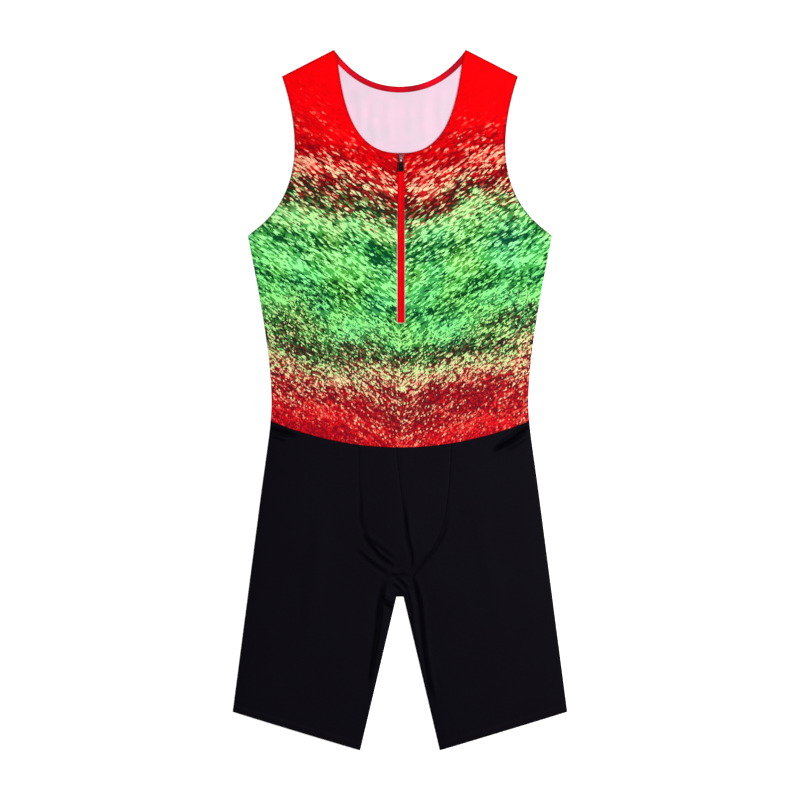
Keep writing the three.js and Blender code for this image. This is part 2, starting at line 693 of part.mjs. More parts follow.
/** The pull tab: a bar under the arch, two arms round it and a flat grip with a round end. */
function pullTab() {
  const grip = new Shape();
  grip.moveTo(-ARM_HALF_WIDTH, 0);
  grip.lineTo(-ARM_HALF_WIDTH, -EYE_REACH + 0.6);
  grip.quadraticCurveTo(-ARM_HALF_WIDTH, -EYE_REACH, -TAB_HALF_WIDTH, -SHOULDER_REACH);
  grip.lineTo(-TAB_HALF_WIDTH, -TAB_REACH + TAB_CORNER);
  grip.quadraticCurveTo(-TAB_HALF_WIDTH, -TAB_REACH, -TAB_HALF_WIDTH + TAB_CORNER, -TAB_REACH);
  grip.lineTo(TAB_HALF_WIDTH - TAB_CORNER, -TAB_REACH);
  grip.quadraticCurveTo(TAB_HALF_WIDTH, -TAB_REACH, TAB_HALF_WIDTH, -TAB_REACH + TAB_CORNER);
  grip.lineTo(TAB_HALF_WIDTH, -SHOULDER_REACH);
  grip.quadraticCurveTo(ARM_HALF_WIDTH, -EYE_REACH, ARM_HALF_WIDTH, -EYE_REACH + 0.6);
  grip.lineTo(ARM_HALF_WIDTH, 0);
  grip.lineTo(EYE_HALF_WIDTH, 0);
  grip.lineTo(EYE_HALF_WIDTH, -EYE_REACH);
  grip.lineTo(-EYE_HALF_WIDTH, -EYE_REACH);
  grip.lineTo(-EYE_HALF_WIDTH, 0);
  grip.closePath();
  const bar = new THREE.CylinderGeometry(BAR_RADIUS, BAR_RADIUS, 2 * ARM_HALF_WIDTH, 16);
  bar.rotateZ(Math.PI / 2);
  return join([plate(grip, -BAR_RADIUS, 2 * BAR_RADIUS), bar]);
}

const tab = addPiece("zip_pull_tab", pullTab(), "blackPull", pullGroup);
tab.rotation.x = TAB_REST_ANGLE;

export default suit;
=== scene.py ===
"""Looks of a running compression suit laid flat: printed singlet top, half zip, black knee shorts.

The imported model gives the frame. Every cloth panel is rebuilt here as a fine thin shell on its solid's
form, with rounded edges, seams, hems, creases and stitches, and the zip's hard pieces get round edges.
Lengths are in millimetres until a mesh is written, and the front of the suit faces up.
"""

import json
import logging
import math
from dataclasses import dataclass, field
from enum import Enum
from typing import Callable, Sequence

import bpy
import numpy as np
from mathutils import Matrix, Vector


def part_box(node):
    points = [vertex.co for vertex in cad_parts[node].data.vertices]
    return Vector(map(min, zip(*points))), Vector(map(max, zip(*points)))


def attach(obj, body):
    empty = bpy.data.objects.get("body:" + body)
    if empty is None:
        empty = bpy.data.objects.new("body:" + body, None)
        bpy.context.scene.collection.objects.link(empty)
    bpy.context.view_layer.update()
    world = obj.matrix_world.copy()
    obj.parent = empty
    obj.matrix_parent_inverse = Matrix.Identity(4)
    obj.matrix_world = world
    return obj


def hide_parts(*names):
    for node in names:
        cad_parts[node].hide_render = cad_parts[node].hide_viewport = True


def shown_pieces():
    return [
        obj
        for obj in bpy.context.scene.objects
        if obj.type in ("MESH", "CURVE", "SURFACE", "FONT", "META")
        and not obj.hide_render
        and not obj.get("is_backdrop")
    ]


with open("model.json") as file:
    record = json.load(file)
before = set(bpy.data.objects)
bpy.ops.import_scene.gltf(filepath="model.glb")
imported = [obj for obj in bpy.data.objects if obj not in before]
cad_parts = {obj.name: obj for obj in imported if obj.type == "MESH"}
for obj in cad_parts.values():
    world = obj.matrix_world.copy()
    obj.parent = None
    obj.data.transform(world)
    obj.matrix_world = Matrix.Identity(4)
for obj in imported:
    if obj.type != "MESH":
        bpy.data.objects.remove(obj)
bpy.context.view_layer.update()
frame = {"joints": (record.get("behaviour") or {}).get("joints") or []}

log = logging.getLogger("running_suit")

MM = 0.001
# Attributes for painted fold shade and for pale bare yarn at cut edges, and the mix that multiplies painted
# shade into a colour
SHADES = ("fold", "pale")
SHADE_DOWN = {"data_type": "RGBA", "blend_type": "MULTIPLY", 0: 1.0}
Point = tuple[float, float]
Size = tuple[float, float, float]
Stops = tuple[tuple[float, str], ...]
Array = np.ndarray
Nets = Sequence[Array]
Rings = list[Array]
Faces = list[tuple[int, ...]]
Heights = Callable[[Array], Array]
Material = bpy.types.Material
Tree = bpy.types.NodeTree
Node = bpy.types.Node
Socket = bpy.types.NodeSocket


# ---- colours and nodes


def linear(hex_colour: str) -> tuple[float, float, float, float]:
    """Turn an sRGB hex colour into the linear colour that a shader takes.

    Args:
        hex_colour: Six hex digits, with or without a leading #.

    Returns:
        Red, green, blue and an alpha of 1.
    """
    digits = hex_colour.lstrip("#")
    parts = [int(digits[i : i + 2], 16) / 255 for i in (0, 2, 4)]
    curve = [c / 12.92 if c <= 0.04045 else ((c + 0.055) / 1.055) ** 2.4 for c in parts]
    return (*curve, 1.0)


def add_node(tree: Tree, kind: str, settings: dict | None = None, links: dict | None = None) -> Node:
    """Add one node with its settings and its links.

    Args:
        tree: The node tree that it goes into.
        kind: The node's type name, without the ShaderNode in front, and for mathematics a space
            and the operation.
        settings: Values by name: a ramp's "stops", which are places with hex colours, a property
            of the node, or else the name or number of an input socket.
        links: Output sockets by the name or number of the input that each one feeds.

    Returns:
        The new node.
    """
    kind, _, operation = kind.partition(" ")
    node = tree.nodes.new("ShaderNode" + kind)
    if operation:
        node.operation = operation
    for name, value in (settings or {}).items():
        if name == "stops":
            while len(node.color_ramp.elements) < len(value):
                node.color_ramp.elements.new(0.5)
            for element, (place, colour) in zip(node.color_ramp.elements, value):
                element.position = place
                element.color = linear(colour)
        elif isinstance(name, str) and hasattr(node, name):
            setattr(node, name, value)
        else:
            node.inputs[name].default_value = value
    for name, source in (links or {}).items():
        tree.links.new(source, node.inputs[name])
    return node


def new_material(name: str, settings: dict) -> tuple[Material, Tree, Node]:
    """Make a material with only an output and a Principled shader.

    Args:
        name: The material's name.
        settings: What is the same all over the surface, by the shader's socket.

    Returns:
        The material, its node tree and the shader.
    """
    material = bpy.data.materials.new(name)
    material.use_nodes = True
    tree = material.node_tree
    tree.nodes.clear()
    shader = add_node(tree, "BsdfPrincipled", settings)
    add_node(tree, "OutputMaterial", links={"Surface": shader.outputs[0]})
    return material, tree, shader


def place_in_mm(tree: Tree) -> Socket:
    """Give the place on the suit in millimetres, from the piece's own coordinates."""
    where = add_node(tree, "TexCoord").outputs["Object"]
    return add_node(tree, "VectorMath SCALE", {"Scale": 1 / MM}, {0: where}).outputs[0]


def paint_fold_shade(tree: Tree, colour: Socket, depth: float) -> tuple[Socket, Socket]:
    """Paint shade on cloth where it turns over an edge or lies in a deep crease.

    Args:
        tree: The material's tree.
        colour: The cloth's colour.
        depth: What is left of the colour at the darkest place.

    Returns:
        The colour with the painted shade, and how deep in a fold each place is, from 0 to 1.
    """
    fold = add_node(tree, "Attribute", {"attribute_name": "fold_shade"}).outputs["Fac"]
    level = add_node(tree, "MapRange", {"To Min": 1.0, "To Max": depth}, {"Value": fold}).outputs[0]
    return add_node(tree, "Mix", SHADE_DOWN, {6: colour, 7: level}).outputs[2], fold


@dataclass(frozen=True)
class KnitRelief:
    """The fine ribs of a warp knit, as bump and as a faint painted shade between the yarns.

    The real wales stand about 0.5 mm apart. They are drawn twice as coarse, because at their own
    size they would blur away even close to. Its lengths are in millimetres.
    """

    wale: float = 1.0
    course: float = 0.9
    depth: float = 0.09
    strength: float = 0.8
    shade: float = 0.14
    waver: float = 0.6

    def link(self, tree: Tree, place: Socket, shader: Node, colour: Socket) -> Socket:
        """Feed the shader's normal with wales across and courses along the cloth.

        Args:
            tree: The material's tree.
            place: The place in millimetres.
            shader: The shader whose normal is set.
            colour: The cloth's colour.

        Returns:
            The colour, with a little painted shade between the yarns.
        """
        waves = []
        for direction, pitch in (("X", self.wale), ("Y", self.course)):
            settings = {"wave_type": "BANDS", "bands_direction": direction, "wave_profile": "SIN"}
            settings |= {"Scale": math.pi / (10 * pitch), "Distortion": self.waver, "Detail Scale": 2.0}
            waves.append(add_node(tree, "TexWave", settings, {"Vector": place}).outputs["Fac"])
        loops = add_node(tree, "Math MULTIPLY", links=dict(enumerate(waves))).outputs[0]
        settings = {"Strength": self.strength, "Distance": self.depth * MM}
        bump = add_node(tree, "Bump", settings, {"Height": loops})
        tree.links.new(bump.outputs[0], shader.inputs["Normal"])
        # Painted shade between the yarns, from the same waves as the bump
        settings = {"From Max": 0.6, "To Min": 1 - self.shade, "To Max": 1.0}
        level = add_node(tree, "MapRange", settings, {"Value": loops}).outputs[0]
        return add_node(tree, "Mix", SHADE_DOWN, {6: colour, 7: level}).outputs[2]


# ---- finishes


@dataclass(frozen=True)
class FleckLayer:
    """One layer of small lozenge flecks of the print.

    Attributes:
        length: A fleck's length in millimetres.
        width: A fleck's width in millimetres.
        lean: Its lean from the horizontal in degrees, mirrored on the right half.
        seed: Tells this layer's flecks from the others'.
        spread: How far up or down the bands a fleck may take its colour from, as a share.
        size: A fleck's least and greatest half width, as a share of its cell.
        amounts: How many of the cells hold a fleck up the bands, as grey values.
    """

    length: float
    width: float
    lean: float
    seed: float
    spread: float
    size: Point
    amounts: Stops


DARK_TONES: Stops = (
    *((0.00, "#8a0a18"), (0.10, "#74101c"), (0.17, "#4a1420"), (0.24, "#10301e"), (0.34, "#0a4424")),
    *((0.48, "#084c26"), (0.56, "#15301c"), (0.60, "#4c0c14"), (0.66, "#84060f"), (0.72, "#c0040c")),
    *((0.78, "#e80208"), (1.00, "#ee0206")),
)
MIDDLE_TONES: Stops = (
    *((0.00, "#d00818"), (0.09, "#c00e1c"), (0.16, "#8e2826"), (0.22, "#34703a"), (0.34, "#38a240")),
    *((0.46, "#44b044"), (0.54, "#3c8a3c"), (0.59, "#8e2a24"), (0.64, "#cc1018"), (0.72, "#ea020a")),
    (1.00, "#f40206"),
)
LIGHT_TONES: Stops = (
    *((0.00, "#e01c22"), (0.06, "#ea5446"), (0.12, "#f2cfa4"), (0.19, "#cfe69a"), (0.26, "#92ea82")),
    *((0.36, "#8ef68a"), (0.46, "#a4f8a0"), (0.54, "#b4f098"), (0.60, "#eee0a8"), (0.65, "#f6b896")),
    *((0.695, "#f27a66"), (0.735, "#f21a1c"), (0.78, "#f6020a"), (1.00, "#f60208")),
)
LONG_FLECKS = ((0.0, "#f0f0f0"), (1.0, "#f0f0f0"))
MIDDLE_FLECKS = ((0.0, "#909090"), (0.3, "#b8b8b8"), (1.0, "#b8b8b8"))
SHORT_FLECKS = ((0.1, "#f0f0f0"), (0.24, "#c0c0c0"), (0.4, "#404040"))


@dataclass(frozen=True)
class FleckedPrint:
    """Sublimation print on white polyester-elastane knit: soft chevron bands of lozenge flecks.

    The dye sits in the yarn, so the colours are clear and strong and the surface stays matt: a low
    specular level and a high roughness. The bands run from red at the waist through green to red at
    the shoulders, and each fleck is a dark, a middle or a light tone of its band. Its lengths are in
    millimetres, and zones darken the flecks up the bands by their grey values.
    """

    low: float = -70.0
    high: float = 470.0
    slope: float = 0.26
    sway: float = 110.0
    sway_size: Size = (120.0, 90.0, 100.0)
    chevron: float = 66.0
    chevron_tone: float = 0.14
    patch_size: Size = (62.0, 22.0, 50.0)
    patch_lean: float = 24.0
    patch_tone: float = 0.9
    halves_apart: float = 400.0
    ground_tone: float = 0.34
    dark_edge: Point = (0.20, 0.34)
    light_edge: Point = (0.50, 0.66)
    roughness: float = 0.85
    specular: float = 0.012
    hue_drift: float = 0.028
    hue_size: float = 58.0
    green_zone: Stops = ((0.14, "#000000"), (0.22, "#ffffff"), (0.52, "#ffffff"), (0.60, "#000000"))
    # What is left of the colour in the painted shade at turned edges
    fold_depth: float = 0.42
    pale_yarn: str = "#ecd2b4"
    tones: tuple[Stops, ...] = (DARK_TONES, MIDDLE_TONES, LIGHT_TONES)
    zones: Stops = (
        *((0.00, "#7a7a7a"), (0.10, "#6a6a6a"), (0.20, "#4a4a4a"), (0.28, "#1c1c1c")),
        *((0.54, "#1c1c1c"), (0.62, "#747474"), (0.74, "#808080"), (0.84, "#606060")),
    )
    layers: tuple[FleckLayer, ...] = (
        FleckLayer(8.4, 2.1, 37.0, 0.0, 0.09, (0.50, 0.90), LONG_FLECKS),
        FleckLayer(6.2, 1.8, 31.0, 11.0, 0.12, (0.35, 0.75), MIDDLE_FLECKS),
        FleckLayer(3.1, 1.7, 66.0, 23.0, 0.16, (0.35, 0.70), SHORT_FLECKS),
    )

    def _bands(self, tree: Tree, place: Socket) -> dict[str, Socket]:
        """Give the place up the chevron bands, its lightness, and the mirrored place across the suit.

        Args:
            tree: The material's tree.
            place: The place in millimetres.

        Returns:
            The sockets "up" from 0 to 1, "light" about 0, and "mirrored".
        """
        parts = add_node(tree, "SeparateXYZ", links={0: place})
        x, y = parts.outputs[0], parts.outputs[1]
        across = add_node(tree, "Math ABSOLUTE", links={0: x}).outputs[0]
        left = add_node(tree, "Math GREATER_THAN", {1: 0.0}, {0: x}).outputs[0]
        links = {0: left, 2: across}
        halves = add_node(tree, "Math MULTIPLY_ADD", {1: self.halves_apart}, links).outputs[0]
        mirrored = add_node(tree, "CombineXYZ", links={0: halves, 1: y}).outputs[0]
        turn = {"rotation_type": "Z_AXIS", "Angle": -math.radians(self.patch_lean)}
        turned = add_node(tree, "VectorRotate", turn, {"Vector": mirrored}).outputs[0]
        noises = []
        for source, size in ((place, self.sway_size), (turned, self.patch_size)):
            spot = add_node(tree, "VectorMath DIVIDE", {1: size}, {0: source}).outputs[0]
            noise = add_node(tree, "TexNoise", {"Scale": 1.0, "Detail": 3.0}, {"Vector": spot}).outputs[0]
            noises.append(add_node(tree, "Math SUBTRACT", {1: 0.5}, {0: noise}).outputs[0])
        drop = add_node(tree, "Math MULTIPLY", {1: self.slope}, {0: across}).outputs[0]
        level = add_node(tree, "Math SUBTRACT", links={0: y, 1: drop}).outputs[0]
        links = {0: noises[0], 2: level}
        swayed = add_node(tree, "Math MULTIPLY_ADD", {1: self.sway}, links).outputs[0]
        limits = {"From Min": self.low, "From Max": self.high}
        up = add_node(tree, "MapRange", limits, {"Value": swayed}).outputs[0]
        angle = add_node(tree, "Math MULTIPLY", {1: math.tau / self.chevron}, {0: swayed}).outputs[0]
        wave = add_node(tree, "Math SINE", links={0: angle}).outputs[0]
        wave = add_node(tree, "Math MULTIPLY", {1: self.chevron_tone}, {0: wave}).outputs[0]
        links = {0: noises[1], 2: wave}
        light = add_node(tree, "Math MULTIPLY_ADD", {1: self.patch_tone}, links).outputs[0]
        zone = add_node(tree, "ValToRGB", {"stops": self.zones}, {0: up}).outputs[0]
        dim = add_node(tree, "SeparateColor", links={0: zone}).outputs[0]
        light = add_node(tree, "Math SUBTRACT", links={0: light, 1: dim}).outputs[0]
        return {"up": up, "light": light, "mirrored": mirrored}

    def _flecks(self, tree: Tree, bands: dict[str, Socket], layer: FleckLayer) -> tuple[Socket, ...]:
        """Make one layer of flecks.

        Args:
            tree: The material's tree.
            bands: What _bands gave.
            layer: The layer's sizes.

        Returns:
            The flecks' mask, their place up the bands and their tone.
        """
        turn = {"rotation_type": "Z_AXIS", "Angle": -math.radians(layer.lean)}
        turned = add_node(tree, "VectorRotate", turn, {"Vector": bands["mirrored"]}).outputs[0]
        shrink = {1: (1 / layer.length, 1 / layer.width, 1.0), 2: (layer.seed,) * 3}
        spot = add_node(tree, "VectorMath MULTIPLY_ADD", shrink, {0: turned}).outputs[0]
        lozenge = {"voronoi_dimensions": "2D", "distance": "MINKOWSKI", "Exponent": 1.3}
        lozenge |= {"Scale": 1.0, "Randomness": 0.85}
        cells = add_node(tree, "TexVoronoi", lozenge, {"Vector": spot})
        chances = add_node(tree, "SeparateColor", links={0: cells.outputs["Color"]})
        jitter = add_node(tree, "Math SUBTRACT", {1: 0.5}, {0: chances.outputs[0]}).outputs[0]
        links = {0: jitter, 2: bands["up"]}
        taken = add_node(tree, "Math MULTIPLY_ADD", {1: layer.spread}, links).outputs[0]
        amount = add_node(tree, "ValToRGB", {"stops": layer.amounts}, {0: bands["up"]}).outputs[0]
        few = {0: chances.outputs[1], 1: amount}
        present = add_node(tree, "Math LESS_THAN", links=few).outputs[0]
        growth = {"To Min": layer.size[0], "To Max": layer.size[1]}
        reach = add_node(tree, "MapRange", growth, {"Value": chances.outputs[2]}).outputs[0]
        gap = add_node(tree, "Math SUBTRACT", links={0: reach, 1: cells.outputs["Distance"]}).outputs[0]
        edge = add_node(tree, "MapRange", {"From Min": -0.05, "From Max": 0.07}, {"Value": gap}).outputs[0]
        mask = add_node(tree, "Math MULTIPLY", links={0: edge, 1: present}).outputs[0]
        spread = add_node(tree, "Math DIVIDE", links=few).outputs[0]
        tone = add_node(tree, "Math ADD", links={0: bands["light"], 1: spread}).outputs[0]
        return mask, taken, tone

    def _vary_green(self, tree: Tree, place: Socket, up: Socket, colour: Socket) -> Socket:
        """Let the green bands wander in hue, and show their bare yarn where they are cut.

        Args:
            tree: The material's tree.
            place: The place in millimetres.
            up: The place up the bands.
            colour: The print's colour.

        Returns:
            The changed colour.
        """
        clouds = {"Scale": 1 / self.hue_size, "Detail": 2.0}
        noise = add_node(tree, "TexNoise", clouds, {"Vector": place}).outputs[0]
        limits = {"From Min": 0.3, "From Max": 0.7}
        limits |= {"To Min": 0.5 + self.hue_drift, "To Max": 0.5 - self.hue_drift}
        hue = add_node(tree, "MapRange", limits, {"Value": noise}).outputs[0]
        share = add_node(tree, "ValToRGB", {"stops": self.green_zone}, {0: up}).outputs[0]
        links = {"Hue": hue, "Fac": share, "Color": colour}
        colour = add_node(tree, "HueSaturation", links=links).outputs[0]
        cut = add_node(tree, "Attribute", {"attribute_name": "pale_shade"}).outputs["Fac"]
        bare = add_node(tree, "Math MULTIPLY", links={0: cut, 1: share}).outputs[0]
        whiten = {"data_type": "RGBA", 7: linear(self.pale_yarn)}
        return add_node(tree, "Mix", whiten, {0: bare, 6: colour}).outputs[2]

    def build(self) -> Material:
        """Make the printed knit's material."""
        even = {"Roughness": self.roughness, "Specular IOR Level": self.specular}
        material, tree, shader = new_material("sublimation_printed_knit", even)
        place = place_in_mm(tree)
        bands = self._bands(tree, place)
        up = bands["up"]
        tone = add_node(tree, "Math ADD", {1: self.ground_tone}, {0: bands["light"]}).outputs[0]
        for layer in self.layers:
            mask, its_up, its_tone = self._flecks(tree, bands, layer)
            up = add_node(tree, "Mix", links={0: mask, 2: up, 3: its_up}).outputs[0]
            tone = add_node(tree, "Mix", links={0: mask, 2: tone, 3: its_tone}).outputs[0]
        ramps = [add_node(tree, "ValToRGB", {"stops": stops}, {0: up}) for stops in self.tones]
        colour = ramps[0].outputs[0]
        for lighter, (start, end) in zip(ramps[1:], (self.dark_edge, self.light_edge)):
            limits = {"From Min": start, "From Max": end}
            share = add_node(tree, "MapRange", limits, {"Value": tone}).outputs[0]
            links = {0: share, 6: colour, 7: lighter.outputs[0]}
            colour = add_node(tree, "Mix", {"data_type": "RGBA"}, links).outputs[2]
        colour = self._vary_green(tree, place, bands["up"], colour)
        # Painted shade where the cloth turns over an edge
        colour, _ = paint_fold_shade(tree, colour, self.fold_depth)
        colour = KnitRelief().link(tree, place, shader, colour)
        tree.links.new(colour, shader.inputs["Base Color"])
        return material


@dataclass(frozen=True)
class PlainCloth:
    """Dyed cloth of one colour, with a faint cloudiness and painted shade where it folds.

    Attributes:
        name: The material's name, after the cloth and how it was made.
        colour: Its main colour.
        second: The colour that the cloudiness drifts towards.
        cloud: The size of the clouds in millimetres.
        roughness: High on matt yarn, lower on smooth filament yarn.
        specular: The specular level, low because yarn scatters light.
        sheen: The soft glow of yarn ends seen at a slant.
        relief: The weave or knit as bump.
        fold_depth: What is left of the colour in the painted shade where the cloth turns over an edge or
            lies in a deep crease.
        fold_roughness: The roughness there, or 0 for the same as elsewhere.
    """

    name: str
    colour: str
    second: str
    cloud: float = 40.0
    roughness: float = 0.8
    specular: float = 0.15
    sheen: float = 0.0
    relief: KnitRelief = field(default_factory=KnitRelief)
    fold_depth: float = 0.5
    fold_roughness: float = 0.0

    def build(self) -> Material:
        """Make the cloth's material."""
        even = {"Roughness": self.roughness, "Specular IOR Level": self.specular}
        even |= {"Sheen Weight": self.sheen, "Sheen Roughness": 0.5}
        material, tree, shader = new_material(self.name, even)
        place = place_in_mm(tree)
        clouds = {"Scale": 1 / self.cloud, "Detail": 4.0}
        noise = add_node(tree, "TexNoise", clouds, {"Vector": place}).outputs[0]
        stops = ((0.35, self.colour), (0.68, self.second))
        dyed = add_node(tree, "ValToRGB", {"stops": stops}, {0: noise}).outputs[0]
        # Painted shade at turned edges and in deep creases
        colour, fold = paint_fold_shade(tree, dyed, self.fold_depth)
        colour = self.relief.link(tree, place, shader, colour)
        tree.links.new(colour, shader.inputs["Base Color"])
        if self.fold_roughness:
            limits = {"To Min": self.roughness, "To Max": self.fold_roughness}
            rough = add_node(tree, "MapRange", limits, {"Value": fold}).outputs[0]
            tree.links.new(rough, shader.inputs["Roughness"])
        return material


@dataclass(frozen=True)
class HardFinish:
    """A hard surface with fine handling marks.

    Attributes:
        name: The material's name, after the real one and its making.
        colour: Its main colour.
        worn: Its colour where it is rubbed.
        metallic: 1 for bare or plated metal.
        roughness: Its main roughness.
        grain: The size of the marks in millimetres.
    """

    name: str
    colour: str
    worn: str
    metallic: float
    roughness: float
    grain: float
    specular: float = 0.5
    rough_less: float = 0.07
    rough_more: float = 0.1
    mark_depth: float = 0.02

    def build(self) -> Material:
        """Make the hard finish's material."""
        even = {"Metallic": self.metallic, "Specular IOR Level": self.specular}
        material, tree, shader = new_material(self.name, even)
        marks = {"Scale": 1 / self.grain, "Detail": 5.0}
        noise = add_node(tree, "TexNoise", marks, {"Vector": place_in_mm(tree)}).outputs[0]
        stops = ((0.4, self.colour), (0.75, self.worn))
        colour = add_node(tree, "ValToRGB", {"stops": stops}, {0: noise}).outputs[0]
        limits = {"To Min": self.roughness - self.rough_less, "To Max": self.roughness + self.rough_more}
        rough = add_node(tree, "MapRange", limits, {"Value": noise}).outputs[0]
        relief = {"Strength": 0.15, "Distance": self.mark_depth * MM}
        bump = add_node(tree, "Bump", relief, {"Height": noise}).outputs[0]
        for socket, source in (("Base Color", colour), ("Roughness", rough), ("Normal", bump)):
            tree.links.new(source, shader.inputs[socket])
        return material


class Finishes:
    """Every finish of the suit, made once."""

    def __init__(self) -> None:
        """Build the materials."""
        # Filament polyester, dyed in the piece: clear colour, almost no gloss.
        self.print = FleckedPrint().build()
        # The white side of the printed knit, tinted pink by dye that came through.
        self.inside = PlainCloth("undyed_knit_back", "#e9c8d8", "#dcc7d4", 26.0, 0.85, 0.05).build()
        # Nylon-elastane compression knit: deep black, with a slight glow where it turns to the light.
        look = ("black_nylon_compression_knit", "#08060d", "#09070f", 90.0, 0.42, 0.018)
        # Painted shade in its deep creases and at its turned edges, where its roughness also rises
        self.black = PlainCloth(*look, fold_depth=0.28, fold_roughness=1.0).build()
        # Printed knit cut into a tape: strong red with darker stretches.
        self.band = PlainCloth("red_knit_neck_tape", "#f00622", "#ae0c20", 30.0, 0.8, 0.03).build()
        # Woven polyester zip tape: a finer, tighter surface than the knit.
        weave = KnitRelief(wale=0.8, course=0.8, depth=0.08, strength=0.8, shade=0.1)
        tape = PlainCloth("woven_polyester_zip_tape", "#ee000e", "#e2000e", 20.0, 0.8, 0.015, relief=weave)
        self.tape = tape.build()
        # Spun polyester thread, as red as the tape, and black in the shorts.
        thread = PlainCloth("spun_polyester_thread_red", "#d00818", "#b80616", 6.0, 0.6, 0.1)
        self.red_thread = thread.build()
        thread = PlainCloth("spun_polyester_thread_black", "#08060c", "#0b080f", 6.0, 0.6, 0.02)
        self.black_thread = thread.build()
        # Die-cast zinc, stove-lacquered to go with the tape: dark red, a soft gloss, worn at its edges.
        lacquer = HardFinish("stove_lacquered_zinc", "#5c0610", "#861824", 0.0, 0.42, 2.0, 0.25)
        self.lacquer = lacquer.build()
        # Die-cast zinc, tumbled and nickel-plated: grey with soft bright edges.
        self.zinc = HardFinish("nickel_plated_zinc", "#989294", "#bab4b6", 1.0, 0.4, 2.0).build()
        # Drawn steel wire, blackened in a bath: darker and duller than the plated parts.
        self.wire = HardFinish("blackened_steel_wire", "#3a3638", "#565254", 1.0, 0.5, 1.2).build()
        # Moulded soft-touch plastic over the pull's core: deep black, low gloss.
        self.pull = HardFinish("moulded_tpu_black", "#040302", "#0a0806", 0.0, 0.55, 3.0, 0.08).build()


# ---- plane geometry


FULL = np.linspace(0, 1, 160)
BEND_POINTS = 400
# How close together the rows next to a rounded edge are, and those over fine creases
EDGE_STEPS = (0.0, 0.18, 0.45, 0.9, 1.7, 3.2)
CREASE_STEP = 0.95


def length_of(path: Array) -> float:
    """A path's length."""
    return float(np.linalg.norm(np.diff(path, axis=0), axis=1).sum())


def lengths_along(path: Array) -> Array:
    """How far along a path each of its points is."""
    return np.concatenate([[0], np.cumsum(np.linalg.norm(np.diff(path, axis=0), axis=1))])


def places_along(path: Array, wanted: Array) -> Array:
    """The places at the wanted lengths along a path, as rows of x and y."""
    run = lengths_along(path)
    return np.stack([np.interp(wanted, run, path[:, i]) for i in (0, 1)], axis=1)


def left_of(path: Array) -> Array:
    """The unit steps to a path's left at each of its points."""
    tangent = np.gradient(path, axis=0)
    return np.column_stack([-tangent[:, 1], tangent[:, 0]]) / np.linalg.norm(tangent, axis=1)[:, None]


def offset_path(path: Array, distance: float, trim: float) -> Array:
    """Move a path a distance to its left and trim its ends."""
    moved = path + distance * left_of(path)
    return places_along(moved, np.linspace(trim, lengths_along(moved)[-1] - trim, len(path)))


def mirror(path: Array, side: int) -> Array:
    """A path or net on its own side of the suit."""
    return path * np.array([side, 1.0])


@dataclass(frozen=True)
class Rail:
    """A straight line of two points or a cubic bend of four, measured along its length."""

    knots: tuple[Point, ...]

    def _dense(self) -> Array:
        """Many points along the rail."""
        t = np.linspace(0, 1, 2 if len(self.knots) == 2 else BEND_POINTS)[:, None]
        k = [np.array(knot, float) for knot in self.knots]
        if len(k) == 2:
            return k[0] * (1 - t) + k[1] * t
        return k[0] * (1 - t) ** 3 + 3 * k[1] * (1 - t) ** 2 * t + 3 * k[2] * (1 - t) * t**2 + k[3] * t**3

    def at(self, shares: Array) -> Array:
        """Points at shares of the rail's length from 0 to 1, as rows of x and y."""
        points = self._dense()
        return places_along(points, np.asarray(shares) * lengths_along(points)[-1])

    def length(self) -> float:
        """The rail's length."""
        return length_of(self._dense())

    def mirrored(self) -> "Rail":
        """The same rail on the other side of the suit."""
        return Rail(tuple((-x, y) for x, y in self.knots))


def spaced(
    length: float, step: float, fine_start: bool = True, fine_end: bool = True, dense: float = 0.0
) -> Array:
    """Shares along a length, close together where an edge has to be rounded.

    Args:
        length: The length in millimetres.
        step: The usual distance.
        fine_start: Whether the start is an edge.
        fine_end: Whether the end is an edge.
        dense: The length at the start that is kept fine for creases.

    Returns:
        Rising shares from 0 to 1.
    """
    head = np.array(EDGE_STEPS if fine_start else (0.0,))
    head = np.append(head, np.arange(head[-1] + CREASE_STEP, dense, CREASE_STEP))
    tail = length - np.array(EDGE_STEPS if fine_end else (0.0,))[::-1]
    count = max(1, round((tail[0] - head[-1]) / step))
    middle = np.linspace(head[-1], tail[0], count + 1)
    return np.concatenate([head[:-1], middle, tail[1:]]) / length


def distance_to(points: Array, path: Array) -> tuple[Array, Array, Array]:
    """Measure how far points are from a path.

    Args:
        points: Rows of x and y.
        path: The path's points in order.

    Returns:
        Each point's distance, the nearest place's length along the path, and whether the point is on
        the path's left.
    """
    best = np.full(len(points), np.inf)
    along = np.zeros(len(points))
    left = np.zeros(len(points), bool)
    run = 0.0
    for a, b in zip(path[:-1], path[1:]):
        ab = b - a
        size = float(np.linalg.norm(ab))
        if size < 1e-9:
            continue
        t = np.clip((points - a) @ ab / size**2, 0, 1)
        gap = np.linalg.norm(points - (a + t[:, None] * ab), axis=1)
        nearer = gap < best
        best[nearer] = gap[nearer]
        along[nearer] = run + t[nearer] * size
        left[nearer] = (ab[0] * (points[:, 1] - a[1]) - ab[1] * (points[:, 0] - a[0]) > 0)[nearer]
        run += size
    return best, along, left


def smooth_step(t: Array) -> Array:
    """Go softly from 0 to 1 as t does."""
    t = np.clip(t, 0, 1)
    return t * t * (3 - 2 * t)


def fill_net(top: Array, bottom: Array, inner: Array, outer: Array, u: Array, v: Array) -> Array:
    """Fill a net of points between four edges that share their corners.

    Args:
        top: The points of the first row.
        bottom: The points of the last row.
        inner: The first point of every row.
        outer: The last point of every row.
        u: The columns' shares across.
        v: The rows' shares down.

    Returns:
        An array of rows by columns by x and y.
    """
    u = u[None, :, None]
    v = v[:, None, None]
    across = inner[:, None] * (1 - u) + outer[:, None] * u
    along = top[None] * (1 - v) + bottom[None] * v
    top_chord = top[0] * (1 - u) + top[-1] * u
    bottom_chord = bottom[0] * (1 - u) + bottom[-1] * u
    return across + along - (top_chord * (1 - v) + bottom_chord * v)


